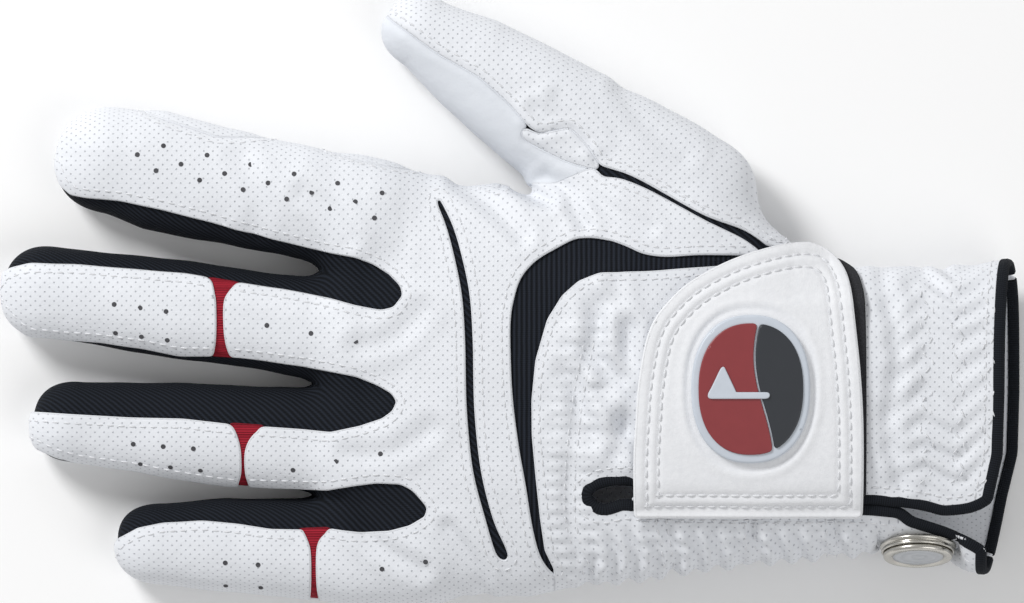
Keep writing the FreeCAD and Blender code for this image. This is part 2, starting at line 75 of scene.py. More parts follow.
# ------------------------------------------------------------------ sizes of the stuffed form
# per finger: length to the tip and back to the root, half widths at the root, knuckle, middle and near the
# tip, heights at the root, knuckle and tip
FINGERS = {
    "index": (39.6, 30.0, 11.6, 12.1, 12.5, 11.4, 19.0, 16.5, 14.0),
    "middle": (48.8, 34.0, 11.3, 10.8, 10.4, 10.1, 19.0, 16.5, 14.0),
    "ring": (47.2, 32.0, 11.5, 11.1, 9.9, 8.9, 18.5, 16.0, 13.5),
    "little": (43.6, 24.0, 10.6, 10.8, 10.0, 8.4, 17.5, 15.0, 12.5),
    "thumb": (37.8, 40.0, 16.0, 12.3, 10.3, 7.4, 20.0, 17.5, 13.0),
}
# stations of the hand: X, the edge on the little finger's side, the edge on the thumb's side, height
HAND = np.array([
    (-33.0, -64.8, 29.4, 18.5),
    (-22.0, -64.3, 28.0, 21.5),
    (-10.0, -64.0, 25.2, 23.6),
    (4.0, -64.4, 23.4, 25.0),
    (24.0, -61.2, 27.0, 26.5),
    (44.0, -58.6, 24.0, 26.6),
    (54.0, -57.4, 18.6, 26.5),
    (62.0, -56.6, 12.0, 26.4),
    (70.0, -55.4, 7.4, 26.2),
    (77.0, -55.2, 6.2, 26.0),
    (92.0, -57.6, 6.4, 24.4),
    (104.0, -59.2, 7.6, 24.6),
    (116.0, -60.0, 8.6, 25.2),
])
BLUNT = 2.4       # exponent of the superellipse sections
RISE = 0.46       # height of a section's widest line, as a share of its height
FINGER_BLEND, HAND_BLEND, THUMB_BLEND = 1.2, 6.0, 7.0    # rounding between the fingers, and to the hand
SOLE_ROUND = 2.4  # rounding where the form meets the floor
VOXEL = 0.8       # spacing of the grid that the form is sampled on
GRID_LOW = np.array([-116.0, -72.0, -3.0])
GRID_COUNT = np.array([292, 178, 42])
CUFF_X = 110.4    # the wrist edge at the height CUFF_MID
CUFF_MID = 12.0
CUFF_LEAN = math.radians(10.0)
# towards the little finger's side the edge draws back: Y, and how far
CUFF_DRAW = ([-62.0, -52.0, -44.0, -34.0, -20.0], [5.6, 4.2, 2.8, 0.4, 0.0])


def joint(name):
    return next(j for j in frame["joints"] if j["name"] == name)


def finger_frame(name):
    """The knuckle, the direction to the tip and the direction across, in plan."""
    j = joint(name + "_flex")
    place = np.array(j["pos_m"][:2]) / MM
    along = np.array([j["axis"][1], -j["axis"][0]])
    along /= np.linalg.norm(along)
    return place, along, np.array([-along[1], along[0]])


SEAT_AXIS = np.array(joint("marker_pull")["axis"])
MARKER_BOX = np.array(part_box("marker_disc")) / MM
SEAT = MARKER_BOX.mean(0) - SEAT_AXIS * 3.6     # just under the seat, on its axis
SEAT_SPOT = 10.4  # radius of the flat spot that the ball marker's seat lies in
SPOT_ROUND = 3.0

# ------------------------------------------------------------------ the stuffed form as a distance field
def smooth_union(a, b, radius):
    mix = np.clip(0.5 + 0.5 * (b - a) / radius, 0, 1)
    return b * (1 - mix) + a * mix - radius * mix * (1 - mix)


def superellipse(parts):
    """Signed distance, near the surface, of a body given as (offset, half size) along each of its axes."""
    ratio = [np.abs(offset) / half for offset, half in parts]
    q = sum(r ** BLUNT for r in ratio) ** (1 / BLUNT) + 1e-6
    slope = np.sqrt(sum(((r / q) ** (BLUNT - 1) / half) ** 2 for r, (_, half) in zip(ratio, parts))) + 1e-6
    return (q - 1) / slope


def finger_distance(name, x, y, z):
    place, along, across = finger_frame(name)
    tip, root, half0, half1, half2, half3, high0, high1, high2 = FINGERS[name]
    run = (x - place[0]) * along[0] + (y - place[1]) * along[1]
    side = (x - place[0]) * across[0] + (y - place[1]) * across[1]
    end_round = 1.15 * half3
    root_round = 0.8 * half0
    stations = [-root, 0.0, 0.45 * tip, tip - end_round]
    half = np.interp(run, stations, [half0, half1, half2, half3])
    high = np.interp(run, [-root, 0.0, tip], [high0, high1, high2])
    past = np.maximum(run - (tip - end_round), 0) / end_round + np.maximum(-root - run, 0) / root_round
    # a finger's end is rounded in plan and a little less in height
    return superellipse([(side, half), (z - RISE * high, (1 - RISE) * high), (past * 10.0, 10.0)])


def hand_distance(x, y, z):
    low, edge, high = (np.interp(x, HAND[:, 0], HAND[:, k]) for k in (1, 2, 3))
    past = np.maximum(HAND[0, 0] - x, 0)
    return superellipse([(y - (low + edge) / 2, (edge - low) / 2), (z - RISE * high, (1 - RISE) * high),
                         (past, 9.0)])


def glove_distance(x, y, z):
    fingers = None
    for name in ("index", "middle", "ring", "little"):
        one = finger_distance(name, x, y, z)
        fingers = one if fingers is None else smooth_union(fingers, one, FINGER_BLEND)
    body = smooth_union(hand_distance(x, y, z), fingers, HAND_BLEND)
    body = smooth_union(body, finger_distance("thumb", x, y, z), THUMB_BLEND)
    body = -smooth_union(-body, z, SOLE_ROUND)
    off = [x - SEAT[0], y - SEAT[1], z - SEAT[2]]
    depth = sum(o * n for o, n in zip(off, SEAT_AXIS))
    radial = np.sqrt(np.maximum(sum(o * o for o in off) - depth * depth, 0))
    spot = np.maximum(radial - SEAT_SPOT, -depth)
    return -smooth_union(-body, spot, SPOT_ROUND)


def base_form():
    """The stuffed form as a quad mesh: points and faces."""
    axes = [GRID_LOW[k] + VOXEL * np.arange(GRID_COUNT[k]) for k in range(3)]
    x, y, z = np.meshgrid(*axes, indexing="ij", sparse=True)
    x, y, z = np.broadcast_arrays(x, y, z)
    field = glove_distance(x, y, z).astype(np.float32)
    grid = openvdb.FloatGrid(background=5.0)
    grid.copyFromArray(np.ascontiguousarray(field))
    points, quads = grid.convertToQuads(isovalue=0.0)
    points = points.astype(float) * VOXEL + GRID_LOW
    for _ in range(4):
        points -= distance_and_slope(points)
    return points, quads.astype(int)


def distance_and_slope(points):
    """The step that brings each point onto the form's surface."""
    value, rise = glove_distance(*points.T), slope(points, 0.05)
    return value[:, None] * rise / np.maximum((rise ** 2).sum(1), 0.2)[:, None]


def slope(points, step):
    """The distance field's gradient, over a step to either side."""
    return np.stack([glove_distance(*(points + step * unit).T) - glove_distance(*(points - step * unit).T)
                     for unit in np.eye(3)], 1) / (2 * step)


def surface_normals(points):
    return unit_rows(slope(points, 0.15))


def unit_rows(vectors):
    return vectors / np.maximum(np.linalg.norm(vectors, axis=1), 1e-9)[:, None]


# ------------------------------------------------------------------ plan outlines, on smooth curves
def curve(points, closed=True, per_span=8):
    """A Catmull-Rom curve through the points; a point given twice is a corner."""
    points = np.array(points, float)
    count = len(points)
    spans = range(count if closed else count - 1)
    out = []
    t = np.linspace(0, 1, per_span, endpoint=False)[:, None]
    for k in spans:
        if closed:
            p0, p1, p2, p3 = (points[(k + d) % count] for d in (-1, 0, 1, 2))
        else:
            p0, p1, p2, p3 = (points[min(max(k + d, 0), count - 1)] for d in (-1, 0, 1, 2))
        if np.allclose(p1, p2):
            continue
        before = np.zeros(2) if np.allclose(p0, p1) else (p2 - p0) / 2
        after = np.zeros(2) if np.allclose(p2, p3) else (p3 - p1) / 2
        out.append((2 * t ** 3 - 3 * t ** 2 + 1) * p1 + (t ** 3 - 2 * t ** 2 + t) * before
                   + (3 * t ** 2 - 2 * t ** 3) * p2 + (t ** 3 - t ** 2) * after)
    if not closed:
        out.append(points[-1:])
    return np.concatenate(out)


def line_distance(points, line):
    """Distance in plan to a polyline."""
    best = np.full(len(points), 1e9)
    for p, q in zip(line[:-1], line[1:]):
        d = q - p
        t = np.clip(((points - p) @ d) / max(d @ d, 1e-9), 0, 1)
        best = np.minimum(best, ((points - p - t[:, None] * d) ** 2).sum(1))
    return np.sqrt(best)


def inside(points, outline):
    """Signed distance in plan to a closed outline, positive inside."""
    line = np.vstack([outline, outline[:1]])
    x, y = points.T
    crossings = np.zeros(len(points), bool)
    for (x0, y0), (x1, y1) in zip(line[:-1], line[1:]):
        if y0 != y1:
            crossings ^= ((y0 > y) != (y1 > y)) & (x < (x1 - x0) * (y - y0) / (y1 - y0) + x0)
    return np.where(crossings, 1, -1) * line_distance(points, line)


FAR = 90.0
INDEX_OUTER = [(-101, 47), (-94, 45.8), (-87.7, 44), (-79.9, 40.4), (-65.5, 36), (-51.5, 35.3),
               (-38.2, 31.7), (-24.9, 28.9), (-13, 26.9), (-2.7, 23.6)]
SIDE_LINES = {
    "index_low": [(-101.4, 29.5), (-100.2, 26), (-97.7, 23.8), (-94.3, 23.1), (-86.8, 22.3),
                  (-77.5, 20.4), (-67.9, 18), (-58.4, 15.3), (-51.1, 13.5), (-40, 10.9)],
    "middle_top": [(-114, 4), (-112.4, 6.3), (-110.8, 7.1), (-106.6, 8.2), (-96.8, 8), (-84.8, 6.9),
                   (-72.8, 5.8), (-60.2, 3.8), (-51.1, 2.6), (-40, 0.5)],
    "middle_low": [(-114, -0.6), (-112.6, -2.6), (-110.8, -4.9), (-107.4, -7.5), (-99.2, -8.4),
                   (-90.6, -9), (-82.4, -10), (-73.7, -11.7), (-60.2, -12.4), (-46.2, -14.1),
                   (-40, -15.4)],
    "ring_top": [(-108, -24.6), (-104, -24.7), (-97.7, -25.1), (-84.8, -25.8), (-72.8, -26.1),
                 (-62.2, -27.3), (-46.2, -28.4), (-40, -29)],
    "ring_low": [(-107, -31.6), (-101, -34.4), (-95.9, -35.8), (-84.8, -37.2), (-70.4, -39.6),
                 (-60.6, -41.2), (-46, -41.4), (-40, -41.5)],
    "little_top": [(-88.6, -55.5), (-87, -52.8), (-82.8, -50.4), (-77.5, -49.3), (-68.8, -48.8),
                   (-60.6, -49.5), (-53.5, -50.6), (-47, -50.7), (-40, -50.4)],
}
# each gap between two fingers: one side's line, then round the crotch, and the other side's line
CROTCHES = [
    ("index_low", [(-34.6, 9.8), (-30.9, 8.3), (-27.1, 5.8), (-24.6, 3.2), (-24.1, 1.2), (-26.2, -1.4),
                   (-28.9, -2), (-34.6, -1)], "middle_top"),
    ("middle_low", [(-34.6, -16.6), (-29.7, -18.6), (-26.4, -20.6), (-25.4, -22.3), (-26.4, -24.4),
                    (-28.6, -26), (-33.5, -27.6)], "ring_top"),
    ("ring_low", [(-34.6, -40.7), (-29.7, -40.2), (-24.6, -40.5), (-22, -41.8), (-18.6, -45.6),
                  (-19.3, -47.6), (-22.6, -49.6), (-27.1, -50.8), (-33.5, -51.2)], "little_top"),
]
KNUCKLE_SLIT = [(-16.4, 21.4), (-14.4, 16.2), (-12.4, 8.7), (-10.8, 0.2), (-10.2, -9.8), (-9.9, -24),
                (-8.6, -37), (-5.8, -48), (-3.1, -56.2), (-0.9, -55.9), (-4.2, -48), (-6.9, -37),
                (-8.3, -24), (-8.6, -9.8), (-9.2, 0.2), (-10.8, 8.7), (-13, 16.2), (-15.7, 21.6)]
STRETCH = [(62, 9.4), (55.1, 9.6), (42.4, 10), (34.2, 9.6), (28.9, 10.3), (25.5, 11.8), (21.1, 13.3),
           (14.7, 13.5), (9.3, 11.1), (5.1, 8.4), (2.2, 5.1), (0.7, 1.1), (-0.2, -4.2), (-0.2, -12),
           (0.3, -22), (1.6, -32), (3.2, -41), (4.6, -50), (6.2, -56), (8.4, -59.4), (9.2, -59.2),
           (7.2, -55), (6.2, -48), (5.2, -38.6), (4.4, -29.7), (4.3, -22), (5.2, -13), (7.8, -4),
           (11, 1), (14.8, 4.4), (19.5, 6.2), (30.6, 6.6), (37.7, 7.1), (46.2, 7.7), (55.1, 8), (62, 8)]
THUMB_SLIT = [(18.9, 29.9), (21.3, 29.3), (25.1, 28), (28.9, 26.2), (33.3, 23.8), (42.4, 18.7),
              (52, 14.9), (58, 10.2), (55.6, 10.4), (50.8, 13.6), (42.4, 17.8), (33.3, 22.9),
              (28.6, 25.2), (23.8, 27), (20.2, 27.6)]
# the seam between the thumb's back and its palm side, from the tip to the web
THUMB_FRONT_SEAM = [(-30, 66), (-26, 61.9), (-16, 54.6), (-7.1, 49.5), (-0.4, 43.5), (4, 38.6),
                    (6.2, 37.3), (12.9, 38.4), (17.3, 33.5), (18.9, 30)]
THUMB_BACK_SEAM = [(18.9, 29), (33.3, 23.3), (42.4, 18.2), (54, 12.6), (61.7, 10.6)]
WEB_PATCH = [(3, 38.4), (6.2, 37.3), (12.9, 38.4), (12.9, 38.4), (17.3, 33.5), (19.4, 29.6),
             (17.2, 29.4), (10.8, 31.6), (3, 36)]
KEYHOLE = [(15.1, -43.1), (16, -40.6), (18.9, -38.9), (22.9, -38.2), (27.3, -38.4), (31, -40.6),
           (31, -44), (25.1, -46), (20.6, -47.3), (17.3, -46.4)]
SLIT = [(28, -43.4), (79.5, -43.6), (95, -46.2), (95, -46.2), (101, -45.6), (105.4, -43.4),
        (108, -39.4), (109.6, -34), (109.6, -34), (124, -34), (124, -64), (124, -64), (108.6, -62),
        (107.6, -58.4), (103.6, -54.6), (97, -51.4), (88, -48.4), (79.5, -45.8), (28, -45.2)]
INSERTS = {
    "middle": [(-67, 8.6), (-59.8, 8.6), (-60.6, 4.6), (-63, 1.6), (-63.9, -0.6), (-63.9, -6),
               (-63.4, -9.6), (-62.4, -12.8), (-62.2, -17), (-66.6, -17), (-66.2, -12.4), (-65.5, -8),
               (-65.5, -0.6), (-66, 2.4)],
    "ring": [(-63, -22.5), (-54.6, -22.5), (-55.6, -27.6), (-58, -30.4), (-59.2, -33.4), (-59.2, -38),
             (-58.5, -41), (-58.3, -46), (-61, -46), (-60.8, -41), (-60, -38), (-60, -33.4),
             (-60.6, -30.4)],
    "little": [(-48, -46), (-39.8, -46), (-40.6, -50.6), (-42.6, -53), (-43.3, -56), (-43.2, -63),
               (-42.4, -70), (-45.2, -70), (-44.5, -63), (-44.5, -56), (-45.2, -53)],
}
SEAM_HEIGHT = 5.2


# ------------------------------------------------------------------ folds and puckers of the stuffed form
def bump(distance, width):
    return np.exp(-(distance / width) ** 2)


def ramp(value, start, length):
    """0 up to the start, rising to 1 over the length."""
    return np.clip((value - start) / length, 0, 1)


# each fold: its line in plan, its depth and its width
FOLDS = [
    ([(5.5, 42.5), (10, 39.6), (15, 34.5)], 0.4, 1.5),
    ([(10, 44.5), (14.5, 40), (17.5, 36)], 0.3, 1.6),
    ([(-5, 29), (2, 24.6), (8, 22)], 0.9, 1.6),
    ([(-12, 25.8), (-4, 20), (2, 14)], 0.6, 1.8),
    ([(8, 27.4), (13, 22), (16, 16.6)], 0.6, 1.5),
    ([(19, -20), (25, -27), (30, -36)], 0.7, 1.6),
    ([(13, -10), (20, -14), (27, -20)], 0.5, 1.6),
    ([(10, -28), (16, -30), (24, -28)], 0.4, 1.8),
    ([(-38, -44.5), (-30, -53.5), (-20, -59)], 0.5, 1.8),
    ([(-14, -50), (-8, -58), (-6, -63)], 0.5, 1.5),
    ([(-34, -10), (-26, -8), (-20, -2)], 0.4, 2.0),
    ([(-36, -34), (-26, -33), (-18, -28)], 0.4, 2.0),
    ([(-46, 24), (-40, 20), (-36, 14)], 0.4, 1.8),
    ([(16, 2), (20, -8), (22, -20)], 0.4, 1.7),
    ([(23, 4), (25, -6), (26, -16)], 0.45, 1.6),
    ([(82, 4), (85, -12), (83, -28), (86, -40)], 0.5, 1.6),
    ([(20, -1), (18.6, -9), (21, -18)], 0.9, 2.2),
    ([(25.6, -6), (24.6, -16), (25.4, -25), (23, -33)], 0.8, 1.9),
    ([(12, -16), (15.6, -22), (17.6, -31)], 0.6, 2.0),
    ([(12, 26), (22, 20), (30, 16)], 0.4, 1.6),
    ([(24, 46), (30, 38), (38, 32)], 0.35, 2.0),
    ([(-60, 31), (-56, 22), (-57, 16)], 0.3, 2.2),
]
# rows of gathering stitches on the wrist's side, from the thumb's side to the little finger's side
GATHERS = [
    [(17.0, -9.5), (14.0, -26.0), (12.9, -48.0), (17.8, -61.5)],
    [(32.4, -45.5), (33.6, -52.0), (35.1, -59.8)],
    [(52.4, -46.4), (52.8, -57.5)],
    [(70.2, -45.4), (71.0, -56.4)],
]


# from one pucker to the next: at the gathering seams, on the ruched side, the cuff and at the waist
RUCK_PITCH, SIDE_PITCH, CUFF_PITCH, WAIST_PITCH = 3.1, 4.6, 5.8, 7.7


def relief(points):
    """How far the skin stands out of the plain form, at points of the plain form."""
    flat, z = points[:, :2], points[:, 2]
    x, y = flat.T
    upper = ramp(z, 4.0, 5.0)
    bound = np.maximum(inside(flat, curve(KEYHOLE)), inside(flat, curve(SLIT, per_span=4)))
    clear = ramp(-bound, 3.2, 3.0)     # it lies smooth at the slit's binding
    # long and short unevenness of stuffed leather
    out = 0.28 * np.sin(x / 6.1 + 1.3 * np.sin(y / 9.0)) * np.sin(y / 7.3 + 0.8 * np.sin(x / 11.0))
    out += 0.10 * np.sin(x / 2.9 + y / 4.1) * np.sin(y / 3.3 - x / 5.7)
    for line, depth, width in FOLDS:
        d = line_distance(flat, curve(line, closed=False))
        out += 1.3 * depth * upper * (0.55 * bump(d - 2.1 * width, width) - bump(d, width))
    for line in GATHERS:
        d = line_distance(flat, curve(line, closed=False))
        ruck = 0.5 + 0.5 * np.sin(y * 2 * np.pi / RUCK_PITCH)
        out += upper * (-0.75 * bump(d, 1.7) + 0.55 * ruck * bump(d - 3.4, 2.0))
    # the ruched side over its elastic
    side_band = clear * ramp(x, 12.0, 6.0) * ramp(-x, -86.0, 8.0) * ramp(-y, 46.5, 3.0)
    out += upper * side_band * 0.7 * np.sin(x * 2 * np.pi / SIDE_PITCH + 1.5 * np.sin(y / 2.1))
    # the ruched cuff, gathered in a zigzag
    cuff_band = clear * ramp(x, 84.0, 4.0) * ramp(-x, -106.0, 3.0) * ramp(y, -45.0, 3.0)
    zigzag = np.abs(((x - 84.0) / 7.0) % 2 - 1) * 4.2
    wander = 1.1 * np.sin(x / 5.3 + y / 9.0) + 0.8 * np.sin(y / 4.7 - x / 8.0)
    deep = 0.42 + 0.14 * np.sin(x / 3.7 + y / 6.1)
    out += upper * cuff_band * deep * np.sin((y + zigzag + wander) * 2 * np.pi / CUFF_PITCH)
    waist = ramp(x, 80.0, 3.0) * ramp(-x, -88.0, 4.0)
    out += upper * waist * 0.35 * np.sin(y * 2 * np.pi / WAIST_PITCH)
    for line in (THUMB_FRONT_SEAM, INDEX_OUTER, WEB_PATCH):
        d = line_distance(flat, curve(line, closed=False))
        out += upper * (0.16 * bump(d - 1.5, 0.8) - 0.34 * bump(d, 0.5))
    return out


# ------------------------------------------------------------------ pieces cut out of the form
POINTS, QUADS = base_form()
NORMALS = surface_normals(POINTS)
THICK = 1.0        # of the leather, which lies on the form except where it rests on the floor
SOLE = np.clip((-NORMALS[:, 2] - 0.2) / 0.6, 0, 1)
SKIN = POINTS + NORMALS * (relief(POINTS) * (1 - SOLE) - THICK * SOLE)[:, None]
TRIANGLES = np.concatenate([QUADS[:, [0, 1, 2]], QUADS[:, [0, 2, 3]]])
PLAN = POINTS[:, :2]
# where a point lies on the leather's own pattern: down a side wall the height takes over from the plan
WALL = np.sign(NORMALS[:, 1]) * np.abs(NORMALS[:, 1]) ** 1.5 * (16.0 - POINTS[:, 2])
FLAT = np.stack([POINTS[:, 0], POINTS[:, 1] + WALL, 0 * WALL], 1)


# the columns of sheet data: place, normal, pattern place, distance inside the edge and inside the zone
PLACE, NORMAL, PATTERN, EDGE, ZONE = slice(0, 3), slice(3, 6), slice(6, 8), 9, 10
ROLL_ANGLES = (60, 25, -10, -50)      # of the points round a rim's edge


def clip(data, triangles, field):
    """The part of a mesh where a field at its points is positive, cut exactly along its zero line."""
    keep = field > 0
    count = keep[triangles].sum(1)
    whole = triangles[count == 3]
    cut = triangles[(count == 1) | (count == 2)]
    odd = keep[cut] == (keep[cut].sum(1) == 1)[:, None]
    turn = odd.argmax(1)
    rows = np.arange(len(cut))
    a, b, c = (cut[rows, (turn + k) % 3] for k in range(3))
    ends = np.stack([np.concatenate([a, a]), np.concatenate([b, c])], 1)
    ends.sort(axis=1)
    edges, where = np.unique(ends, axis=0, return_inverse=True)
    where = where.reshape(-1)
    f0, f1 = field[edges[:, 0]], field[edges[:, 1]]
    share = (f0 / (f0 - f1))[:, None]
    added = data[edges[:, 0]] * (1 - share) + data[edges[:, 1]] * share
    ab, ac = where[:len(cut)] + len(data), where[len(cut):] + len(data)
    lone = keep[a]
    corner = np.stack([a, ab, ac], 1)[lone]
    rest = [np.stack(part, 1)[~lone] for part in ([ab, b, c], [ab, c, ac])]
    pieces = [whole, corner, *rest]
    return tidy(np.concatenate([data, added]), np.concatenate(pieces))


def tidy(data, triangles):
    used, numbers = np.unique(triangles, return_inverse=True)
    return data[used], numbers.reshape(-1, 3)


def rim_loops(triangles):
    """The open edges of a mesh, in the direction their triangles run."""
    edges = np.concatenate([triangles[:, [0, 1]], triangles[:, [1, 2]], triangles[:, [2, 0]]])
    size = int(triangles.max()) + 1
    key, back = edges[:, 0] * size + edges[:, 1], edges[:, 1] * size + edges[:, 0]
    return edges[~np.isin(key, back)]


def neighbour_sum(values, pairs):
    """For each point the sum of the values at the points it is paired with."""
    total = np.zeros_like(values)
    np.add.at(total, pairs[:, 0], values[pairs[:, 1]])
    np.add.at(total, pairs[:, 1], values[pairs[:, 0]])
    return total


def shell(data, triangles, high, low, round_off=0.4, open_edge=None):
    """Points and faces of a closed sheet from the height low to high above the skin, with a rolled rim.
    Where open_edge is near zero the sheet goes on in the next zone, and is left open there."""
    place, normal = data[:, PLACE].copy(), unit_rows(data[:, NORMAL])
    count = len(place)
    edges = rim_loops(triangles)
    if open_edge is not None:
        shut = (np.abs(open_edge[edges]) > 1e-4).any(1)
        edges = edges[shut]
    rim = np.unique(edges)
    number = np.zeros(count, int)
    number[rim] = np.arange(len(rim))
    ends = number[edges]
    links = np.bincount(ends.reshape(-1), minlength=len(rim))
    free = (links == 2)[:, None]
    for _ in range(4):
        smoother = 0.5 * place[rim] + 0.25 * neighbour_sum(place[rim], ends)
        place[rim] = np.where(free, smoother, place[rim])
    outward = np.zeros((len(rim), 3))
    sideways = np.cross(place[edges[:, 1]] - place[edges[:, 0]], normal[edges[:, 0]])
    np.add.at(outward, ends[:, 0], sideways)
    np.add.at(outward, ends[:, 1], sideways)
    for _ in range(3):
        outward = unit_rows(outward + 0.5 * neighbour_sum(outward, ends))
    points = [place + normal * high, place + normal * low]
    faces = [triangles, triangles[:, ::-1] + count]
    middle, half = (high + low) / 2, (high - low) / 2
    levels = [edges]
    total = 2 * count
    for angle in ROLL_ANGLES:
        turn = math.radians(angle)
        points.append(place[rim] + outward * round_off * math.cos(turn)
                      + normal[rim] * (middle + half * math.sin(turn)))
        levels.append(ends + total)
        total += len(rim)
    levels.append(edges + count)
    for upper, lower in zip(levels[:-1], levels[1:]):
        faces.append(np.stack([upper[:, 1], upper[:, 0], lower[:, 0], lower[:, 1]], 1))
    return np.concatenate(points), faces


# ------------------------------------------------------------------ zones: the hand, and each finger
# where each finger's zone starts, from its knuckle towards the tip, and its half width
ZONE_START = {"index": -19.0, "middle": -21.5, "ring": -17.0, "little": -4.0, "thumb": -9.0}
ZONE_HALF = {"index": 15.0, "middle": 13.0, "ring": 13.0, "little": 13.4, "thumb": 17.0}


def finger_run(name, flat):
    place, along, across = finger_frame(name)
    return (flat - place) @ along, (flat - place) @ across


ZONES = {}
for name in FINGERS:
    run, side = finger_run(name, PLAN)
    ZONES[name] = np.minimum(run - ZONE_START[name], ZONE_HALF[name] - np.abs(side))
ZONES["hand"] = -np.max([ZONES[name] for name in FINGERS], axis=0)


def give_zone(obj, zone):
    """The piece rides on the hand; a finger's or the thumb's piece is only baked where it lies."""
    if zone == "hand":
        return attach(obj, "hand")
    place, along, _ = finger_frame(zone)
    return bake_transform(obj)


def mesh_object(name, points, faces, material, smooth=True):
    name = name + "_look"
    mesh = bpy.data.meshes.new(name)
    faces = [faces] if isinstance(faces, np.ndarray) else faces
    corners = np.concatenate([np.asarray(f).reshape(-1) for f in faces])
    sizes = np.concatenate([np.full(len(f), np.asarray(f).shape[1]) for f in faces])
    mesh.vertices.add(len(points))
    mesh.vertices.foreach_set("co", (np.asarray(points) * MM).astype(np.float32).reshape(-1))
    mesh.loops.add(len(corners))
    mesh.loops.foreach_set("vertex_index", corners.astype(np.int32))
    mesh.polygons.add(len(sizes))
    mesh.polygons.foreach_set("loop_start", (np.cumsum(sizes) - sizes).astype(np.int32))
    mesh.polygons.foreach_set("loop_total", sizes.astype(np.int32))
    mesh.update(calc_edges=True)
    obj = bpy.data.objects.new(name, mesh)
    bpy.context.scene.collection.objects.link(obj)
    if smooth:
        mesh.shade_smooth()
    if material:
        mesh.materials.append(material)
    return obj


# ------------------------------------------------------------------ materials
def material(name, color, rough, **sockets):
    """A new material, with its even values on the shader's own sockets."""
    made = bpy.data.materials.new(name)
    made.use_nodes = True
    shader = made.node_tree.nodes["Principled BSDF"]
    shader.inputs["Base Color"].default_value = (*color, 1)
    shader.inputs["Roughness"].default_value = rough
    for socket, value in sockets.items():
        shader.inputs[socket.replace("_", " ")].default_value = value
    return made


def node(made, kind, inputs=(), **settings):
    """A new node; inputs are pairs of a socket and its value or the output that feeds it."""
    new = made.node_tree.nodes.new("ShaderNode" + kind)
    for key, value in settings.items():
        setattr(new, key, value)
    for socket, value in inputs:
        if isinstance(value, bpy.types.NodeSocket):
            made.node_tree.links.new(value, new.inputs[socket])
        else:
            new.inputs[socket].default_value = value
    return new


def finish(made, shade, normal=None):
    """Feeds the shader its colour and its relief."""
    shader = made.node_tree.nodes["Principled BSDF"]
    made.node_tree.links.new(shade, shader.inputs["Base Color"])
    if normal:
        made.node_tree.links.new(normal, shader.inputs["Normal"])
    return made


def pattern(made):
    """The place on the piece's own flat pattern, in millimetres."""
    return node(made, "Attribute", attribute_name="flat").outputs["Vector"]


def noise(made, place, scale, detail=3.0, stretch=None):
    if stretch:
        place = node(made, "Mapping", [("Vector", place), ("Scale", stretch)]).outputs["Vector"]
    return node(made, "TexNoise", [("Vector", place), ("Scale", scale), ("Detail", detail)]).outputs["Fac"]


def ribs(made, place, pitch, direction, distortion=0.0):
    """Fine parallel ribs, one every pitch millimetres."""
    inputs = [("Vector", place), ("Scale", 2 * math.pi / 20 / pitch), ("Distortion", distortion)]
    return node(made, "TexWave", inputs, bands_direction=direction).outputs["Fac"]


def tint(made, factor, dark, light):
    """Colour between two shades, by a factor from 0 to 1."""
    mix = node(made, "Mix", data_type="RGBA")
    made.node_tree.links.new(factor, mix.inputs[0])
    for socket, value in ((6, dark), (7, light)):
        if isinstance(value, bpy.types.NodeSocket):
            made.node_tree.links.new(value, mix.inputs[socket])
        else:
            mix.inputs[socket].default_value = (*value, 1)
    return mix.outputs[2]


def raised(made, height, size, strength=1.0, under=None):
    """Relief of size millimetres on top of the relief under it."""
    inputs = [("Height", height), ("Distance", size * MM), ("Strength", strength)]
    if under:
        inputs.append(("Normal", under))
    return node(made, "Bump", inputs).outputs["Normal"]


def pinholes(made, place, pitch, radius):
    """1 in the pinholes of a staggered lattice and 0 between them."""
    lattice = [("Vector", place), ("Rotation", (0, 0, math.pi / 4)), ("Scale", 3 * (1 / pitch,))]
    turned_place = node(made, "Mapping", lattice).outputs["Vector"]
    cell = node(made, "VectorMath", [(0, turned_place)], operation="FRACTION").outputs["Vector"]
    middle = (0.5, 0.5, 0.0)
    away = node(made, "VectorMath", [(0, cell), (1, middle)], operation="DISTANCE").outputs["Value"]
    edge = [("Value", away), ("From Min", radius / pitch), ("From Max", 1.6 * radius / pitch)]
    return node(made, "MapRange", edge + [("To Min", 1.0), ("To Max", 0.0)]).outputs["Result"]


def darker(color, share):
    return tuple(share * c for c in color)


def leather(name, light, holes):
    made = material(name, light, 0.56, Specular_IOR_Level=0.35)
    place = pattern(made)
    shade = tint(made, noise(made, place, 0.09, 4.0), darker(light, 0.91), light)
    grain = raised(made, noise(made, place, 2.6, 6.0), 0.09, 0.55)
    creases = raised(made, noise(made, place, 0.32, 3.0), 0.45, 0.45, grain)
    if holes:
        mask = pinholes(made, place, 1.42, 0.13)
        # the pinholes get a darker grey: painted shade inside the perforations
        shade = tint(made, mask, shade, PINHOLE_PAINTED_SHADE)
        between = node(made, "Math", [(0, 1.0), (1, mask)], operation="SUBTRACT").outputs["Value"]
        creases = raised(made, between, 0.16, 0.8, creases)
    return finish(made, shade, creases)


def suede():
    made = material("tab_suede", (0.74, 0.75, 0.78), 0.92, Sheen_Weight=0.25)
    place = pattern(made)
    shade = tint(made, noise(made, place, 0.9, 8.0), (0.74, 0.75, 0.78), (0.86, 0.87, 0.89))
    nap = raised(made, noise(made, place, 3.2, 6.0), 0.12, 0.7)
    return finish(made, shade, raised(made, noise(made, place, 0.35, 3.0), 0.4, 0.4, nap))


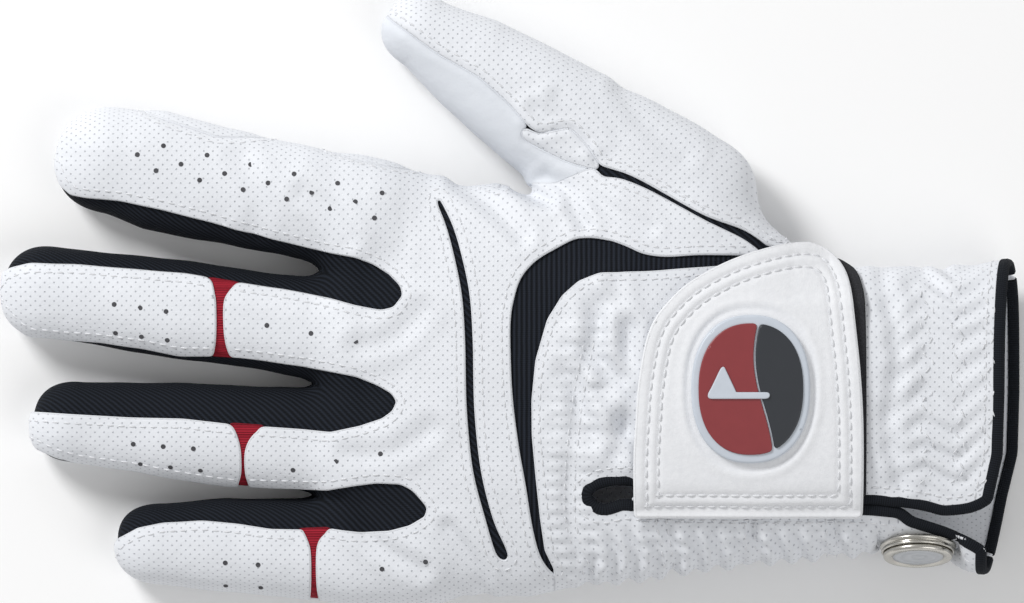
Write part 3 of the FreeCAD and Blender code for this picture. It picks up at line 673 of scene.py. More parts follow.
def knit(name, dark, light, pitch, direction, deep=0.22):
    made = material(name, dark, 0.85, Specular_IOR_Level=0.2)
    place = pattern(made)
    rib_height_and_shade = ribs(made, place, pitch, direction, 0.6)
    cross = raised(made, ribs(made, place, 0.45, "Y", 0.4), 0.08, 0.6)
    # the ribs' colour follows their relief: painted shade in the grooves and painted highlight on the
    # crests
    return finish(made, tint(made, rib_height_and_shade, dark, light), raised(made, rib_height_and_shade, deep, 0.8, cross))


def fabric_loops():
    made = material("loop_fabric", (0.012, 0.012, 0.015), 0.95)
    place = pattern(made)
    shade = tint(made, noise(made, place, 2.2, 5.0), (0.004, 0.004, 0.006), (0.035, 0.036, 0.042))
    return finish(made, shade, raised(made, noise(made, place, 2.4, 5.0), 0.5, 1.0))


# the small hard pieces and the threads have no pattern place, so these work in the object's own metres
def rubber(name, color):
    made = material(name, color, 0.42, Coat_Weight=0.15, Coat_Roughness=0.3)
    place = node(made, "TexCoord").outputs["Object"]
    shade = tint(made, noise(made, place, 400.0, 3.0), darker(color, 0.88), color)
    return finish(made, shade, raised(made, noise(made, place, 3000.0, 3.0), 0.03, 0.5))


def brushed(name, color, rough):
    made = material(name, color, rough, Metallic=1.0)
    place = node(made, "TexCoord").outputs["Object"]
    streak_height_and_shade = noise(made, place, 900.0, 4.0, (0.15, 1.0, 1.0))
    # the streaks' colour follows their relief: painted shade in the brushing grooves
    return finish(made, tint(made, streak_height_and_shade, darker(color, 0.8), color), raised(made, streak_height_and_shade, 0.02, 0.5))


def painted_hole_shade():
    # a hole is drawn as a flat dark disc on the leather: painted shade of the glove's inside, mottled
    made = material("punched_hole", (0.05, 0.05, 0.055), 0.9)
    shade_mottle = noise(made, node(made, "TexCoord").outputs["Object"], 1200.0)
    shade = tint(made, shade_mottle, (0.03, 0.03, 0.034), (0.10, 0.10, 0.11))
    return finish(made, shade)


def sewing_thread():
    made = material("sewing_thread", (0.72, 0.73, 0.75), 0.7)
    twist_height_and_shade = noise(made, node(made, "TexCoord").outputs["Object"], 3000.0, 2.0)
    # the thread's colour follows its twist's relief: painted shade in the grooves
    shade = tint(made, twist_height_and_shade, (0.60, 0.61, 0.64), (0.82, 0.83, 0.85))
    return finish(made, shade, raised(made, twist_height_and_shade, 0.05, 0.6))


# grey of the pinholes: painted shade inside the perforations
PINHOLE_PAINTED_SHADE = (0.50, 0.52, 0.56)
LEATHER = leather("white_leather", (0.78, 0.80, 0.84), True)
SMOOTH = leather("smooth_leather", (0.72, 0.75, 0.80), False)
# each knit's two colours are the painted shade of its rib grooves and the painted highlight of its crests
KNIT = knit("black_knit", (0.002, 0.003, 0.005), (0.014, 0.018, 0.027), 0.75, "DIAGONAL")
RIBBED = knit("ribbed_knit", (0.002, 0.003, 0.005), (0.016, 0.020, 0.030), 1.1, "X")
RED = knit("red_elastic", (0.20, 0.008, 0.018), (0.40, 0.018, 0.036), 0.55, "Y")
BINDING = knit("binding_tape", (0.003, 0.004, 0.006), (0.012, 0.015, 0.021), 0.5, "X", 0.06)
SUEDE = suede()
FUZZ = fabric_loops()
RUBBER_RIM = rubber("badge_rim", (0.60, 0.65, 0.72))
RUBBER_RED = rubber("badge_red", (0.26, 0.035, 0.040))
RUBBER_DARK = rubber("badge_charcoal", (0.026, 0.030, 0.037))
NICKEL = brushed("nickel", (0.66, 0.64, 0.59), 0.26)
ENAMEL = rubber("inlay_enamel", (0.50, 0.52, 0.55))
THREAD = sewing_thread()
# painted shade for the punched holes
HOLE_SHADE = painted_hole_shade()


def piece(name, field, high, low, material, zones=("hand",), round_off=0.4):
    """One sewn piece in each zone that it reaches: the share of the skin where its field is positive."""
    made = {}
    for zone in zones:
        data = np.hstack([SKIN, NORMALS, FLAT, field[:, None], ZONES[zone][:, None]])
        data, triangles = clip(data, TRIANGLES, field)
        data, triangles = clip(data, triangles, data[:, ZONE])
        if len(triangles) == 0:
            continue
        full_name = name if zone == "hand" else f"{name}_{zone}"
        made[zone] = sheet_object(full_name, data, triangles, high, low, material, round_off, data[:, ZONE])
        give_zone(made[zone], zone)
    return made


def sheet_object(name, data, triangles, high, low, material, round_off=0.4, open_edge=None):
    """A sewn piece from points that carry place, normal, pattern place and distance from the edge."""
    points, faces = shell(data, triangles, high, low, round_off, open_edge)
    obj = mesh_object(name, points, faces, material)
    count = len(data)
    flat = np.zeros((len(points), 3))
    for start in (0, count):
        flat[start:start + count, :2] = data[:, PATTERN]
    store(obj, "flat", flat)
    return obj


def store(obj, name, vectors):
    """A vector at each point, for the materials."""
    made = obj.data.attributes.new(name, "FLOAT_VECTOR", "POINT")
    made.data.foreach_set("vector", vectors.astype(np.float32).ravel())


# ------------------------------------------------------------------ fields of the pieces, positive inside
EYELET_HEM = 1.3      # how much smaller the eyelet is cut, so that its binding ends on the outline
SLIT_HEM = 0.6        # how far the leather's edge reaches into the slit


def region(outline):
    return inside(PLAN, curve(outline))


def gap_outline(first, round_the_end, second):
    """The outline of the knit between two fingers, closed far out over the floor beyond the fingertips."""
    return np.array(SIDE_LINES[first] + round_the_end + SIDE_LINES[second][::-1])


def along_skin(field):
    """The field measured along the skin near its zero line: a plan distance is longer on a steep wall."""
    a, b, c = (POINTS[TRIANGLES[:, k]] for k in range(3))
    to_b, to_c = b - a, c - a
    normal = np.cross(to_b, to_c)
    rise_b, rise_c = (field[TRIANGLES[:, k]] - field[TRIANGLES[:, 0]] for k in (1, 2))
    steep = rise_b[:, None] * np.cross(to_c, normal) + rise_c[:, None] * np.cross(normal, to_b)
    steep = np.linalg.norm(steep, axis=1) / np.maximum((normal ** 2).sum(1), 1e-9)
    total = np.bincount(TRIANGLES.ravel(), np.repeat(steep, 3), len(POINTS))
    count = np.bincount(TRIANGLES.ravel(), minlength=len(POINTS))
    return field / np.clip(total / np.maximum(count, 1), 0.12, 1.0)


gaps = [inside(PLAN, gap_outline(*g)) for g in CROTCHES]
GAP = np.max(gaps, axis=0)
# the seam round the palm runs lower where a dark side wall comes down to it
TOP = POINTS[:, 2] - SEAM_HEIGHT + 2.8 * np.clip((GAP + 2.0) / 4.0, 0, 1)
CUFF_FIELD = (CUFF_X - np.interp(POINTS[:, 1], *CUFF_DRAW) - (POINTS[:, 2] - CUFF_MID) * math.tan(CUFF_LEAN)
              - POINTS[:, 0])
knuckle_slit = region(KNUCKLE_SLIT)
stretch = region(STRETCH)
thumb_slit = region(THUMB_SLIT)
opening = np.maximum(region(KEYHOLE) - EYELET_HEM, inside(PLAN, curve(SLIT, per_span=4)))
slit_edge = SLIT_HEM - opening
index_outside = along_skin(inside(PLAN, np.array(INDEX_OUTER + [(-2.7, FAR), (-101.0, FAR)])))
THUMB_FAR = [(64.0, FAR), (-60.0, FAR), (-60.0, 50.0), (-22.0, 46.0), (3.0, 26.4), (9.4, 26.2)]
thumb_all = along_skin(inside(PLAN, np.array(THUMB_FRONT_SEAM[-1:] + THUMB_BACK_SEAM[1:] + THUMB_FAR)))
thumb_back_outline = THUMB_FRONT_SEAM + THUMB_BACK_SEAM + [(64.0, FAR), (-30.0, FAR)]
thumb_back = along_skin(inside(PLAN, np.array(thumb_back_outline)))
web_patch = along_skin(region(WEB_PATCH))
WRIST_FAR = [(63.0, 13.0), (63.0, FAR), (130.0, FAR), (130.0, -FAR), (8.4, -FAR)]
wrist = inside(PLAN, np.array(STRETCH[20:] + WRIST_FAR))


def least(*fields):
    return np.min(fields, axis=0)


def most(*fields):
    return np.max(fields, axis=0)


inserts = {name: region(outline) for name, outline in INSERTS.items()}
any_insert = most(*inserts.values())
FINGER_ZONES = ["index", "middle", "ring", "little"]
EVERYWHERE = ["hand", *FINGER_ZONES, "thumb"]
KNIT_LEVEL = 0.15     # top of the knit, under the leather
KNIT_FOOT = -0.5
INSERT_FACES = (0.4, -0.3)     # top and foot of the red inserts
INSERT_REACH = 0.8             # how far they reach in under the leather
LEATHER_FOOT = 0.2
OVERLAP = 2.2         # how far the knit reaches in under the leather
WEB_END = 30.0        # the web's pieces end before this X
CREVICE = 0.4         # from the outline to where the leather's edge starts to roll
SNUG = 0.3            # the same where leather meets leather

side_leather = least(index_outside, -thumb_all)
leather_room = {
    "back": least(TOP - SNUG, -GAP - CREVICE, -knuckle_slit - CREVICE, -stretch - CREVICE,
                  -thumb_slit - CREVICE, -thumb_all - SNUG, -wrist, -any_insert - CREVICE,
                  -index_outside - SNUG, -web_patch - SNUG),
    "palm": least(most(-TOP - SNUG, side_leather - SNUG), CUFF_FIELD),
    "thumb_back": least(TOP - SNUG, thumb_all, thumb_back - SNUG, -web_patch - SNUG, -thumb_slit - CREVICE),
    "thumb_front": least(TOP - SNUG, thumb_all, -thumb_back - SNUG, -web_patch - SNUG),
    "web_patch": least(TOP - SNUG, web_patch - SNUG, WEB_END - POINTS[:, 0]),
    "wrist_back": least(TOP - SNUG, wrist - CREVICE, -stretch - CREVICE, slit_edge, CUFF_FIELD),
}
knit_room = {
    "fourchettes": (least(GAP + OVERLAP, TOP + OVERLAP), KNIT, ["hand", *FINGER_ZONES]),
    "knuckle_flex_gusset": (least(knuckle_slit + OVERLAP, TOP), KNIT, ["hand"]),
    "back_stretch_panel": (least(stretch + OVERLAP, TOP, -opening - 1.0), RIBBED, ["hand"]),
    "thumb_gusset": (least(thumb_slit + OVERLAP, TOP), KNIT, ["hand", "thumb"]),
}
for name, (field, knit_material, zones) in knit_room.items():
    piece(name, field, KNIT_LEVEL, KNIT_FOOT, knit_material, zones)
WIDE_ZONES = {"back": ["hand", *FINGER_ZONES], "palm": EVERYWHERE, "wrist_back": ["hand"]}
for name, field in leather_room.items():
    zones = WIDE_ZONES.get(name, ["hand", "thumb"])
    made = piece(name, field, THICK, LEATHER_FOOT, SMOOTH if name == "thumb_front" else LEATHER, zones)
    if name == "palm":
        made["thumb"].data.materials[0] = SMOOTH
for name, field in inserts.items():
    piece(f"{name}_insert", least(field + INSERT_REACH, TOP, -GAP), *INSERT_FACES, RED, [name])


# ------------------------------------------------------------------ the closure tab and what lies under it
TAB = [(27.5, -47.4), (27.5, -47.4), (27.3, -36), (27.8, -26.2), (28.4, -18.2), (30, -9.1), (32, -4.2),
       (34.8, -0.6), (38.6, 3), (43.7, 6.2), (49.3, 8.8), (55.7, 10.8), (61.7, 11.8), (66.8, 11.6),
       (69.7, 10.4), (71.9, 8.2), (73.5, 5.3), (74.5, 1), (75.3, -6), (76.3, -16.2), (76.9, -28),
       (76.9, -47.4), (76.9, -47.4)]
LOOP_PAD = [(36, -43), (36, -43), (34, -10), (42, 0), (55, 6.6), (68, 9.6), (74.8, 7.4), (77.2, 3),
            (77.8, -4), (77.9, -22), (77.9, -43), (77.9, -43)]
HOOK_PAD = [(35, -38), (35, -38), (34.5, -22), (37, -9), (43, -0.5), (54, 5.4), (65, 7.2), (70.4, 2.4),
            (72.6, -16), (73, -38), (73, -38)]
GRID_STEP = 0.45
TAB_LIFT, TAB_THICK = 2.3, 1.3    # its underside above the hand
PAD_LIFT = 1.2
TAB_SEAMS = (2.3, 4.9)            # the two rows of stitches along its edge
ROOT_LIFT = 0.9        # where the tab is sewn down
ROOT_Y, ROOT_RISE = -46.6, 7.0


def tab_lift(y):
    """How far the tab's underside stands off the hand: it comes down to its sewn root."""
    t = np.clip((y - ROOT_Y) / ROOT_RISE, 0, 1)
    return ROOT_LIFT + (TAB_LIFT - ROOT_LIFT) * t * t * (3 - 2 * t)


# the stiff tab: its height at X STIFF_X, its fall along X, and its drop past the thumb's side
STIFF_TOP, STIFF_X, STIFF_FALL, STIFF_DROP = 27.2, 52.0, 0.035, 0.62


def cover_height(x, y, lift):
    """Height of a surface at a distance above the hand, held up where it is too stiff to follow it."""
    z = np.full(len(x), 40.0)
    for _ in range(40):
        z -= 0.7 * (hand_distance(x, y, z) - lift)
    stiff = STIFF_TOP + lift - STIFF_FALL * (x - STIFF_X) - STIFF_DROP * np.maximum(y + 1.0, 0) ** 1.12
    return smooth_max(np.maximum(z, 0.0), stiff - 3.4, 2.0)


def smooth_max(a, b, radius):
    return -smooth_union(-a, -b, radius)


def cover_sheet(outline, lift, relief_of=None):
    """Sheet data inside a plan outline, at a distance above the hand."""
    low, high = outline.min(0) - 1.0, outline.max(0) + 1.0
    xs, ys = (np.arange(low[k], high[k], GRID_STEP) for k in (0, 1))
    x, y = (v.ravel() for v in np.meshgrid(xs, ys, indexing="ij"))

    def height(px, py):
        return cover_height(px, py, lift + tab_lift(py) - TAB_LIFT if lift >= TAB_LIFT else lift)

    z = height(x, y)
    step = 0.2
    normal = unit_rows(np.stack([height(x - step, y) - height(x + step, y),
                                 height(x, y - step) - height(x, y + step), 0 * x + 2 * step], 1))
    field = inside(np.stack([x, y], 1), outline)
    place = np.stack([x, y, z], 1)
    if relief_of is not None:
        place = place + normal * relief_of(x, y, field)[:, None]
    index = np.arange(len(x)).reshape(len(xs), len(ys))
    a, b, c, d = (part.ravel() for part in (index[:-1, :-1], index[1:, :-1], index[1:, 1:], index[:-1, 1:]))
    triangles = np.concatenate([np.stack([a, b, c], 1), np.stack([a, c, d], 1)])
    data = np.hstack([place, normal, np.stack([x, y, 0 * x], 1), field[:, None], 0 * field[:, None] + 9.0])
    return clip(data, triangles, field)


BADGE = np.array([(52.6, -19.4), (12.6, 15.8)])    # the oval's centre and its half sizes
BADGE_FRAME = 1.5      # width of the rim round the coloured fields


def badge_ratio(x, y):
    """Distance in plan outside the badge's oval."""
    (cx, cy), (ax, ay) = BADGE
    u, v = (x - cx) / ax, (y - cy) / ay
    q = (np.abs(u) ** 2.3 + np.abs(v) ** 2.3) ** (1 / 2.3) + 1e-6
    return (q - 1) * (ax + ay) / 2


def tab_relief(x, y, edge):
    out = -0.30 * sum(bump(edge - inset, 0.55) for inset in TAB_SEAMS)
    out += 0.18 * bump(edge - 3.6, 0.8) + 0.12 * bump(edge - 1.0, 0.9)
    out += -0.35 * bump(badge_ratio(x, y) - 1.6, 0.6) + 0.25 * bump(badge_ratio(x, y) - 3.0, 1.0)
    out += 0.16 * np.sin(x / 4.7 + 0.9 * np.sin(y / 5.1)) * np.sin(y / 5.9)
    return out - 0.5 * bump(y + 46.4, 1.2)


def on_tab(obj):
    """Bakes the piece's transform into its mesh; it is not attached to the tab's body."""
    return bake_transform(obj)


TAB_DATA, TAB_TRIANGLES = cover_sheet(curve(TAB), TAB_LIFT, tab_relief)
on_tab(sheet_object("tab", TAB_DATA, TAB_TRIANGLES, TAB_THICK, 0.0, SUEDE, 0.6))
data, triangles = cover_sheet(curve(LOOP_PAD), PAD_LIFT)
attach(sheet_object("loop_pad", data, triangles, 0.8, -0.3, FUZZ, 0.3), "hand")
data, triangles = cover_sheet(curve(HOOK_PAD), TAB_LIFT)
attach(sheet_object("hook_pad", data, triangles, -0.1, -0.8, FUZZ, 0.3), "tab")


# ------------------------------------------------------------------ the rubber badge: a flag over a hill
SQUARE = ((-1, -1), (1, -1), (1, 1), (-1, 1))


def badge_piece(name, field_of, high, low, material, round_off):
    (cx, cy), (ax, ay) = BADGE
    box = np.array([(cx + i * (ax + 1), cy + j * (ay + 1)) for i, j in SQUARE])
    data, triangles = cover_sheet(box, TAB_LIFT + TAB_THICK)
    field = field_of(data[:, 0], data[:, 1])
    data[:, EDGE] = field
    data, triangles = clip(data, triangles, field)
    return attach(sheet_object(name, data, triangles, high, low, material, round_off), "tab")


def hill_side(x, y):
    """Positive on the hill: the wrist's side of a gentle wave."""
    return (x - BADGE[0][0]) - 3.0 + 2.2 * np.sin((y - BADGE[0][1]) / 7.5 + 0.6)


def flag_field(x, y):
    """Positive on a golf flag: a thin pole along X with a three-cornered pennant at its far end."""
    u, v = x - BADGE[0][0], y - BADGE[0][1] + 1.4
    pole = least(0.55 - np.abs(v), u + 9.3, 4.0 - u)
    pennant = least(v, 6.6 - 2.1 * np.abs(u + 6.2) - v)
    return most(pole, pennant)


badge_piece("badge_base", lambda x, y: -badge_ratio(x, y), 1.3, -0.1, RUBBER_RIM, 0.5)
for name, way, rubber_color in (("upper", -1, RUBBER_RED), ("lower", 1, RUBBER_DARK)):
    badge_piece(f"badge_{name}_field",
                lambda x, y: least(-badge_ratio(x, y) - BADGE_FRAME, way * hill_side(x, y) - 0.45),
                1.75, 1.2, rubber_color, 0.25)
badge_piece("badge_emblem", flag_field, 2.25, 1.6, RUBBER_RIM, 0.2)


# ------------------------------------------------------------------ bindings round the cuff and the slit
def chains(edges):
    """Runs of point numbers from edges given as pairs, each run open or closed."""
    following = {a: b for a, b in edges.tolist()}
    starts = [a for a in following if a not in set(following.values())]
    runs = []
    left = dict(following)
    for start in starts + list(following):
        if start not in left:
            continue
        run = [start]
        while run[-1] in left:
            run.append(left.pop(run[-1]))
        if len(run) > 4:
            runs.append(run)
    return runs


def length_along(points):
    """At each point of a run, how far along it that is."""
    return np.concatenate([[0], np.cumsum(np.linalg.norm(np.diff(points, axis=0), axis=1))])


def even_run(rows, spacing):
    """Rows of data along a run, evenly spaced and smoothed."""
    for _ in range(6):
        rows[1:-1] = 0.5 * rows[1:-1] + 0.25 * (rows[:-2] + rows[2:])
    length = length_along(rows[:, PLACE])
    count = max(int(length[-1] / spacing), 2)
    where = np.linspace(0, length[-1], count + 1)
    return np.stack([np.interp(where, length, rows[:, k]) for k in range(rows.shape[1])], 1)


def tape(name, rows_list, reach, high, low, material):
    """Binding folded over an edge: reach is how far it lies in over the leather."""
    points, faces, lengths, total = [], [], [], 0
    profile = [(-reach, high - 0.25), (-reach + 0.3, high), (-0.4, high), (0.3, high * 0.75),
               (0.65, (high + low) / 2), (0.3, low * 0.75), (-0.4, low), (-reach + 0.3, low),
               (-reach, low + 0.25)]
    for rows in rows_list:
        place, normal = rows[:, PLACE], unit_rows(rows[:, NORMAL])
        out = unit_rows(np.cross(rows[:, -3:], normal))
        ring = np.stack([place + out * o + normal * h for o, h in profile], 1)
        count, sides = len(place), len(profile)
        number = total + np.arange(count * sides).reshape(count, sides)
        for k in range(sides):
            j = (k + 1) % sides
            faces.append(np.stack([number[:-1, k], number[:-1, j], number[1:, j], number[1:, k]], 1))
        faces.append(number[:1, :])
        faces.append(number[-1:, ::-1])
        points.append(ring.reshape(-1, 3))
        across = np.array([o for o, _ in profile])
        flat = [np.repeat(length_along(place), sides), np.tile(across, count), np.zeros(count * sides)]
        lengths.append(np.stack(flat, 1))
        total += count * sides
    obj = mesh_object(name, np.concatenate(points), faces, material)
    store(obj, "flat", np.concatenate(lengths))
    return obj


def edge_runs(field, limit):
    """The rim of a piece where one of its fields, limit, is what ends it, with the way it runs."""
    data = np.hstack([SKIN, NORMALS, CUFF_FIELD[:, None], limit[:, None]])
    data, triangles = clip(data, TRIANGLES, field)
    edges = rim_loops(triangles)
    edges = edges[(np.abs(data[edges, -1]) < 0.06).all(1)]
    runs = [even_run(data[run].copy(), 0.7) for run in chains(edges)]
    return [np.hstack([rows, np.gradient(rows[:, PLACE], axis=0)]) for rows in runs]


def parts_of(rows, chosen):
    """The unbroken parts of a run where chosen holds, each with one row more so that neighbours meet."""
    turns = np.flatnonzero(np.diff(chosen.astype(int))) + 1
    parts = zip([0, *turns], [*turns, len(rows)])
    return [rows[start:stop + 1] for start, stop in parts if chosen[start] and stop - start > 2]


wrist_field, palm_field = leather_room["wrist_back"], leather_room["palm"]
dorsal_runs = edge_runs(wrist_field, least(slit_edge, CUFF_FIELD))
FROM_CUFF = 6          # the column of a run's distance from the cuff's edge
slit_runs = [part for rows in dorsal_runs for part in parts_of(rows, rows[:, FROM_CUFF] > 0.5)]
cuff_runs = [part for rows in dorsal_runs for part in parts_of(rows, rows[:, FROM_CUFF] <= 0.5)]
TAPE = (1.9, 1.25, -0.35)      # how far it reaches over the leather, and its two faces above the skin
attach(tape("slit_binding", slit_runs, *TAPE, BINDING), "hand")
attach(tape("cuff_binding", cuff_runs + edge_runs(palm_field, CUFF_FIELD), *TAPE, BINDING), "hand")


# ------------------------------------------------------------------ the ball marker and its seat
def bands(rows):
    """The faces between each closed ring of points and the next."""
    return [np.stack([a, np.roll(a, -1), np.roll(b, -1), b], 1) for a, b in zip(rows[:-1], rows[1:])]


def turned(name, profile, material, body, sides=72):
    """A round piece from (radius, height) pairs above the seat's foot, about the seat's axis."""
    up = SEAT_AXIS
    across = np.cross(up, (1.0, 0, 0))
    across /= np.linalg.norm(across)
    turn = 2 * np.pi * np.arange(sides) / sides
    ring = np.outer(np.cos(turn), (1.0, 0, 0)) + np.outer(np.sin(turn), across)
    points = np.concatenate([SEAT_FOOT + ring * r + up * h for r, h in profile])
    rows = np.arange(len(points)).reshape(len(profile), sides)
    obj = mesh_object(name, points, bands(rows) + [rows[:1, ::-1], rows[-1:]], material)
    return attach(obj, body)


SEAT_FOOT = MARKER_BOX.mean(0) - SEAT_AXIS * 2.25
SEAT_PROFILE = [(6.0, -0.4), (8.0, -0.3), (8.4, 0.0), (8.5, 0.3), (8.3, 0.6), (7.9, 0.75), (7.8, 0.9),
                (7.9, 1.05), (8.1, 1.2), (8.15, 1.5), (8.0, 1.7), (7.7, 1.75), (7.6, 1.5), (4.0, 1.45)]
DISC_PROFILE = [(7.0, 1.52), (7.3, 1.56), (7.55, 1.85), (7.7, 2.3), (7.65, 2.75), (7.4, 2.95), (7.1, 3.0),
                (5.9, 3.0), (5.7, 2.7), (5.0, 2.68)]
INLAY_PROFILE = [(5.65, 2.66), (5.6, 2.78), (4.2, 2.8), (4.1, 2.72), (3.8, 2.72), (3.7, 2.8), (1.8, 2.8),
                 (1.7, 2.72), (1.4, 2.72), (1.3, 2.8), (0.05, 2.82)]
turned("marker_seat", SEAT_PROFILE, NICKEL, "hand")
turned("marker_disc", DISC_PROFILE, NICKEL, "marker")
turned("marker_inlay", INLAY_PROFILE, ENAMEL, "marker")

# ------------------------------------------------------------------ stitching
ZONE_NAMES = list(ZONES)
ZONE_FIELDS = np.stack([ZONES[name] for name in ZONE_NAMES], 1)
PITCH = 2.4            # of the stitches
ZIGZAG_ROWS = (91.6, 98.4, 105.2)
GRACE = 0.8            # stitches keep this far inside their piece
SEWN_DATA = np.hstack([SKIN, NORMALS, ZONE_FIELDS])
STITCHES = {name: [] for name in ZONE_NAMES}


def iso_runs(data, triangles, value):
    """Evenly spaced rows of data along the line where a value at the points is zero."""
    data, triangles = clip(np.hstack([data, value[:, None]]), triangles, value)
    edges = rim_loops(triangles)
    edges = edges[(np.abs(data[edges, -1]) < 1e-6).all(1)]
    return [even_run(data[run].copy(), PITCH) for run in chains(edges)]


def sew(field, inset, limit):
    """A row of stitches inside the edge of a piece, where a limit at the points is positive."""
    for rows in iso_runs(np.hstack([SEWN_DATA, limit[:, None]]), TRIANGLES, field - inset):
        along = np.gradient(rows[:, PLACE], axis=0)
        keep = (rows[:, 5] > -0.2) & (rows[:, -2] > 0)
        zone = rows[:, 6:6 + len(ZONE_NAMES)].argmax(1)
        for k, name in enumerate(ZONE_NAMES):
            chosen = keep & (zone == k)
            STITCHES[name].append((rows[chosen, PLACE], rows[chosen, NORMAL], along[chosen]))


UPPER = np.flatnonzero(NORMALS[:, 2] > 0.3)


def on_skin(plan):
    """The rows of data of the upper skin right under points in plan."""
    near = UPPER[[((PLAN[UPPER] - p) ** 2).sum(1).argmin() for p in plan]]
    rows = SEWN_DATA[near].copy()
    off = plan - rows[:, :2]
    rows[:, :2] += off
    rows[:, 2] -= (rows[:, 3] * off[:, 0] + rows[:, 4] * off[:, 1]) / rows[:, 5]
    return rows


def sew_line(line):
    """A row of stitches along a line given in plan."""
    flat = curve(line, closed=False)
    length = length_along(flat)
    where = np.arange(0.5, length[-1], PITCH)
    plan = np.stack([np.interp(where, length, flat[:, k]) for k in (0, 1)], 1)
    rows = on_skin(plan)
    STITCHES["hand"].append((rows[:, PLACE], rows[:, NORMAL], np.gradient(rows[:, PLACE], axis=0)))


def threads(name, places, normals, alongs, level, long=0.78, thick=0.2):
    """Short threads lying on a surface, each sunk by half at its ends."""
    place, normal, along = (np.concatenate(part) for part in (places, normals, alongs))
    normal, along = unit_rows(normal), unit_rows(along)
    side = np.cross(normal, along)
    sides = 6
    half = [(0.0, 1.0, 0.2), (0.75, 0.8, 0.0), (1.0, 0.25, -0.35)]
    shape = [(-u, r, h) for u, r, h in half[:0:-1]] + half
    turn = 2 * np.pi * np.arange(sides) / sides
    template = [(u * long, r * thick * math.cos(t), level + h * thick + r * thick * math.sin(t))
                for u, r, h in shape for t in turn]
    points = np.concatenate([[p + a * u + s * v + n * w for u, v, w in template]
                             for p, n, a, s in zip(place, normal, along, side)])
    rows = np.arange(len(template)).reshape(len(shape), sides)
    one = np.concatenate(bands(rows))
    starts = len(template) * np.arange(len(place))[:, None, None]
    ends = np.stack([rows[0, ::-1], rows[-1]])
    faces = [(one + starts).reshape(-1, 4), (ends + starts).reshape(-1, sides)]
    return mesh_object(name, points, faces, THREAD)


for field, inset in ((-GAP, 2.0), (-knuckle_slit, 2.0), (-thumb_slit, 1.9)):
    sew(field, inset, least(leather_room["back"] - GRACE, WEB_END - POINTS[:, 0]))
sew(-stretch, 1.9, most(leather_room["back"], leather_room["wrist_back"]) - GRACE)
sew(-thumb_slit, 1.9, leather_room["thumb_back"] - GRACE)
sew(thumb_back, 1.8, leather_room["thumb_back"] - GRACE)
sew(-index_outside, 1.8, leather_room["back"] - GRACE)
sew(slit_edge, 3.4, wrist_field - 1.5)
sew(CUFF_FIELD, 3.6, wrist_field - 1.5)
for line in GATHERS:
    for side in (-1.1, 1.1):
        sew_line([(x + side, y) for x, y in line])
for x in ZIGZAG_ROWS:
    sew_line([(x + (1.5 if k % 2 else -1.5), -40.0 + 2.9 * k) for k in range(17)])
sew_line([(29.0, ROOT_Y - 1.9), (52.0, ROOT_Y - 2.2), (75.5, ROOT_Y - 1.9)])

for name in ZONE_NAMES:
    parts = [part for part in STITCHES[name] if len(part[0])]
    if parts:
        give_zone(threads(f"stitches_{name}", *zip(*parts), THICK + 0.02), name)
tab_rows = [rows[rows[:, 1] > ROOT_Y + 1.5] for inset in TAB_SEAMS
            for rows in iso_runs(TAB_DATA, TAB_TRIANGLES, TAB_DATA[:, EDGE] - inset)]
tab_parts = [[rows[:, PLACE], rows[:, NORMAL], np.gradient(rows[:, PLACE], axis=0)] for rows in tab_rows]
on_tab(threads("stitches_tab", *zip(*tab_parts), TAB_THICK + 0.05, 0.95, 0.3))

# ------------------------------------------------------------------ punched holes in rows along the fingers, as discs of painted shade
# per row: finger, run of the first hole towards the tip, its place across, step, drift across, number
HOLE_ROWS = [
    ("index", 16.9, -5.9, -9.9, 0, 6),
    ("index", 22.1, -2.9, -9.9, 0, 6),
    ("index", 17.3, -0.4, -9.9, 0, 6),
    ("middle", 23.9, 0.8, -5.8, 0, 3),
    ("middle", 22.8, 6.6, -5.8, 0, 3),
    ("middle", -10.3, 0.8, -10, 0.4, 3),
    ("ring", 24.4, 3.6, -6.7, 0, 3),
    ("ring", 22.5, 7.5, -6.7, 0.2, 3),
    ("ring", -11.4, 6.4, -9.6, -2.4, 3),
    ("little", 19.6, 3.9, -7.3, 0.2, 2),
    ("little", 19.4, 8.5, -7.8, 0.2, 2),
    ("little", -15.3, 4, -9.5, -1.9, 2),
]
HOLE_RADIUS = 0.55
HOLE_SIDES = 16
hole_rows = []
for finger, run, side, step, drift, number in HOLE_ROWS:
    place, along, across = finger_frame(finger)
    hole_rows.append(on_skin(np.array([place + along * (run + step * k) + across * (side + drift * k)
                                       for k in range(number)])))
hole_rows = np.concatenate(hole_rows)


def hole_rim(row):
    """The points round one disc of painted hole shade, just above the leather."""
    normal = row[3:6] / np.linalg.norm(row[3:6])
    first = np.cross(normal, (0.0, 1.0, 0.0))
    first /= np.linalg.norm(first)
    second = np.cross(normal, first)
    turn = 2 * np.pi * np.arange(HOLE_SIDES) / HOLE_SIDES
    middle = row[:3] + normal * (THICK + 0.05)
    return middle + HOLE_RADIUS * (np.outer(np.cos(turn), first) + np.outer(np.sin(turn), second))


for k, name in enumerate(ZONE_NAMES):
    rows = hole_rows[hole_rows[:, 6:].argmax(1) == k]
    if len(rows):
        points = np.concatenate([hole_rim(row) for row in rows])
        faces = np.arange(len(points)).reshape(-1, HOLE_SIDES)
        give_zone(mesh_object(f"punched_holes_{name}", points, faces, HOLE_SHADE), name)

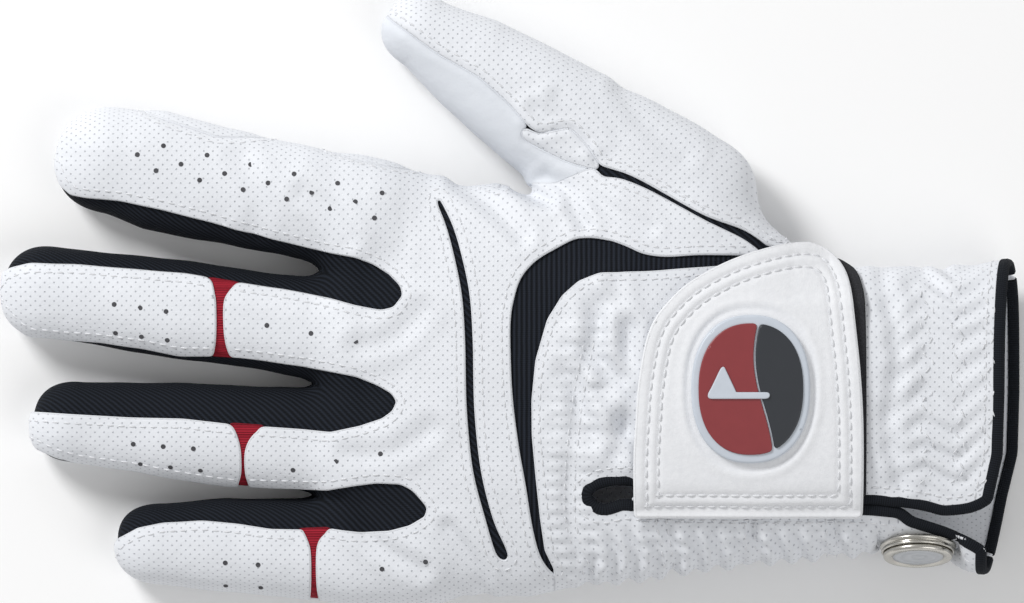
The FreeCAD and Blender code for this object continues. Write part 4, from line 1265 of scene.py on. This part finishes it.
# ------------------------------------------------------------------ what each piece stands for in CAD
SAME_NAMES = ("back_stretch_panel", "knuckle_flex_gusset", "thumb_gusset", "web_patch", "slit_binding",
              "cuff_binding", "loop_pad", "hook_pad", "badge_base", "badge_upper_field",
              "badge_lower_field", "badge_emblem", "marker_disc", "marker_inlay")
STANDS_FOR = {name: [name] for name in SAME_NAMES}
STANDS_FOR |= {
    "palm": ["palm_leather"],
    "back": ["back_panel"],
    "wrist_back": ["wrist_back_panel", "cuff_elastic", "side_elastic"],
    "thumb_back": ["thumb_base_back"],
    "thumb_front": ["thumb_base_front"],
    "fourchettes": ["fourchette_index_middle", "fourchette_middle_ring", "fourchette_ring_little"],
    "fourchettes_index": ["index_side_littleward"],
    "fourchettes_middle": ["middle_side_thumbward", "middle_side_littleward"],
    "fourchettes_ring": ["ring_side_thumbward", "ring_side_littleward"],
    "fourchettes_little": ["little_side_thumbward"],
    "thumb_back_thumb": ["thumb_tip_back", "thumb_knuckle_skin"],
    "palm_thumb": ["thumb_tip_front"],
    "tab": ["tab_outer", "tab_lining", "tab_fold", "tab_root_welt"],
    "marker_seat": ["marker_seat", "marker_magnet", "seat_washer"],
}
for name in FINGER_ZONES:
    STANDS_FOR[f"back_{name}"] = [f"{name}_tip_back", f"{name}_knuckle_skin"]
    STANDS_FOR[f"palm_{name}"] = [f"{name}_tip_front"]
for name in INSERTS:
    STANDS_FOR[f"{name}_insert_{name}"] = [f"{name}_knuckle_insert"]
for name, nodes in STANDS_FOR.items():
    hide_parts(*nodes)

# ------------------------------------------------------------------ camera, light and floor
LENS, SENSOR = 400.0, 36.0
WIDTH = 0.2273          # of the view at the glove's mid height, in metres
GLOVE_MIDDLE = 0.012
HEIGHT_OFF = WIDTH * LENS / SENSOR
FLOOR_REACH = 3000.0
WORLD_LIGHT = 0.47
camera_data = bpy.data.cameras.new("camera")
camera_data.lens, camera_data.sensor_width = LENS, SENSOR
camera = bpy.data.objects.new("camera", camera_data)
bpy.context.scene.collection.objects.link(camera)
camera.location = (0.0, -0.0001, HEIGHT_OFF + GLOVE_MIDDLE)
bpy.context.scene.camera = camera
floor_corners = [(FLOOR_REACH * i, FLOOR_REACH * j, 0) for i, j in SQUARE]
floor = mesh_object("floor", floor_corners, np.array([(0, 1, 2, 3)]), material("floor", 3 * (0.94,), 0.9))
world = bpy.data.worlds.new("world")
bpy.context.scene.world = world
world.use_nodes = True
world.node_tree.nodes["Background"].inputs[0].default_value = (1, 1, 1, 1)
world.node_tree.nodes["Background"].inputs[1].default_value = WORLD_LIGHT
bpy.context.scene.view_settings.view_transform = "Standard"


def lamp(name, place, size, power):
    data = bpy.data.lights.new(name, "AREA")
    data.shape, data.size, data.energy = "DISK", size, power
    obj = bpy.data.objects.new(name, data)
    bpy.context.scene.collection.objects.link(obj)
    obj.location = place
    obj.rotation_euler = (-obj.location).to_track_quat("-Z", "Y").to_euler()


lamp("key", (-0.75, 0.75, 0.8), 0.45, 12.5)
lamp("fill", (0.7, -0.5, 0.9), 0.9, 3.0)
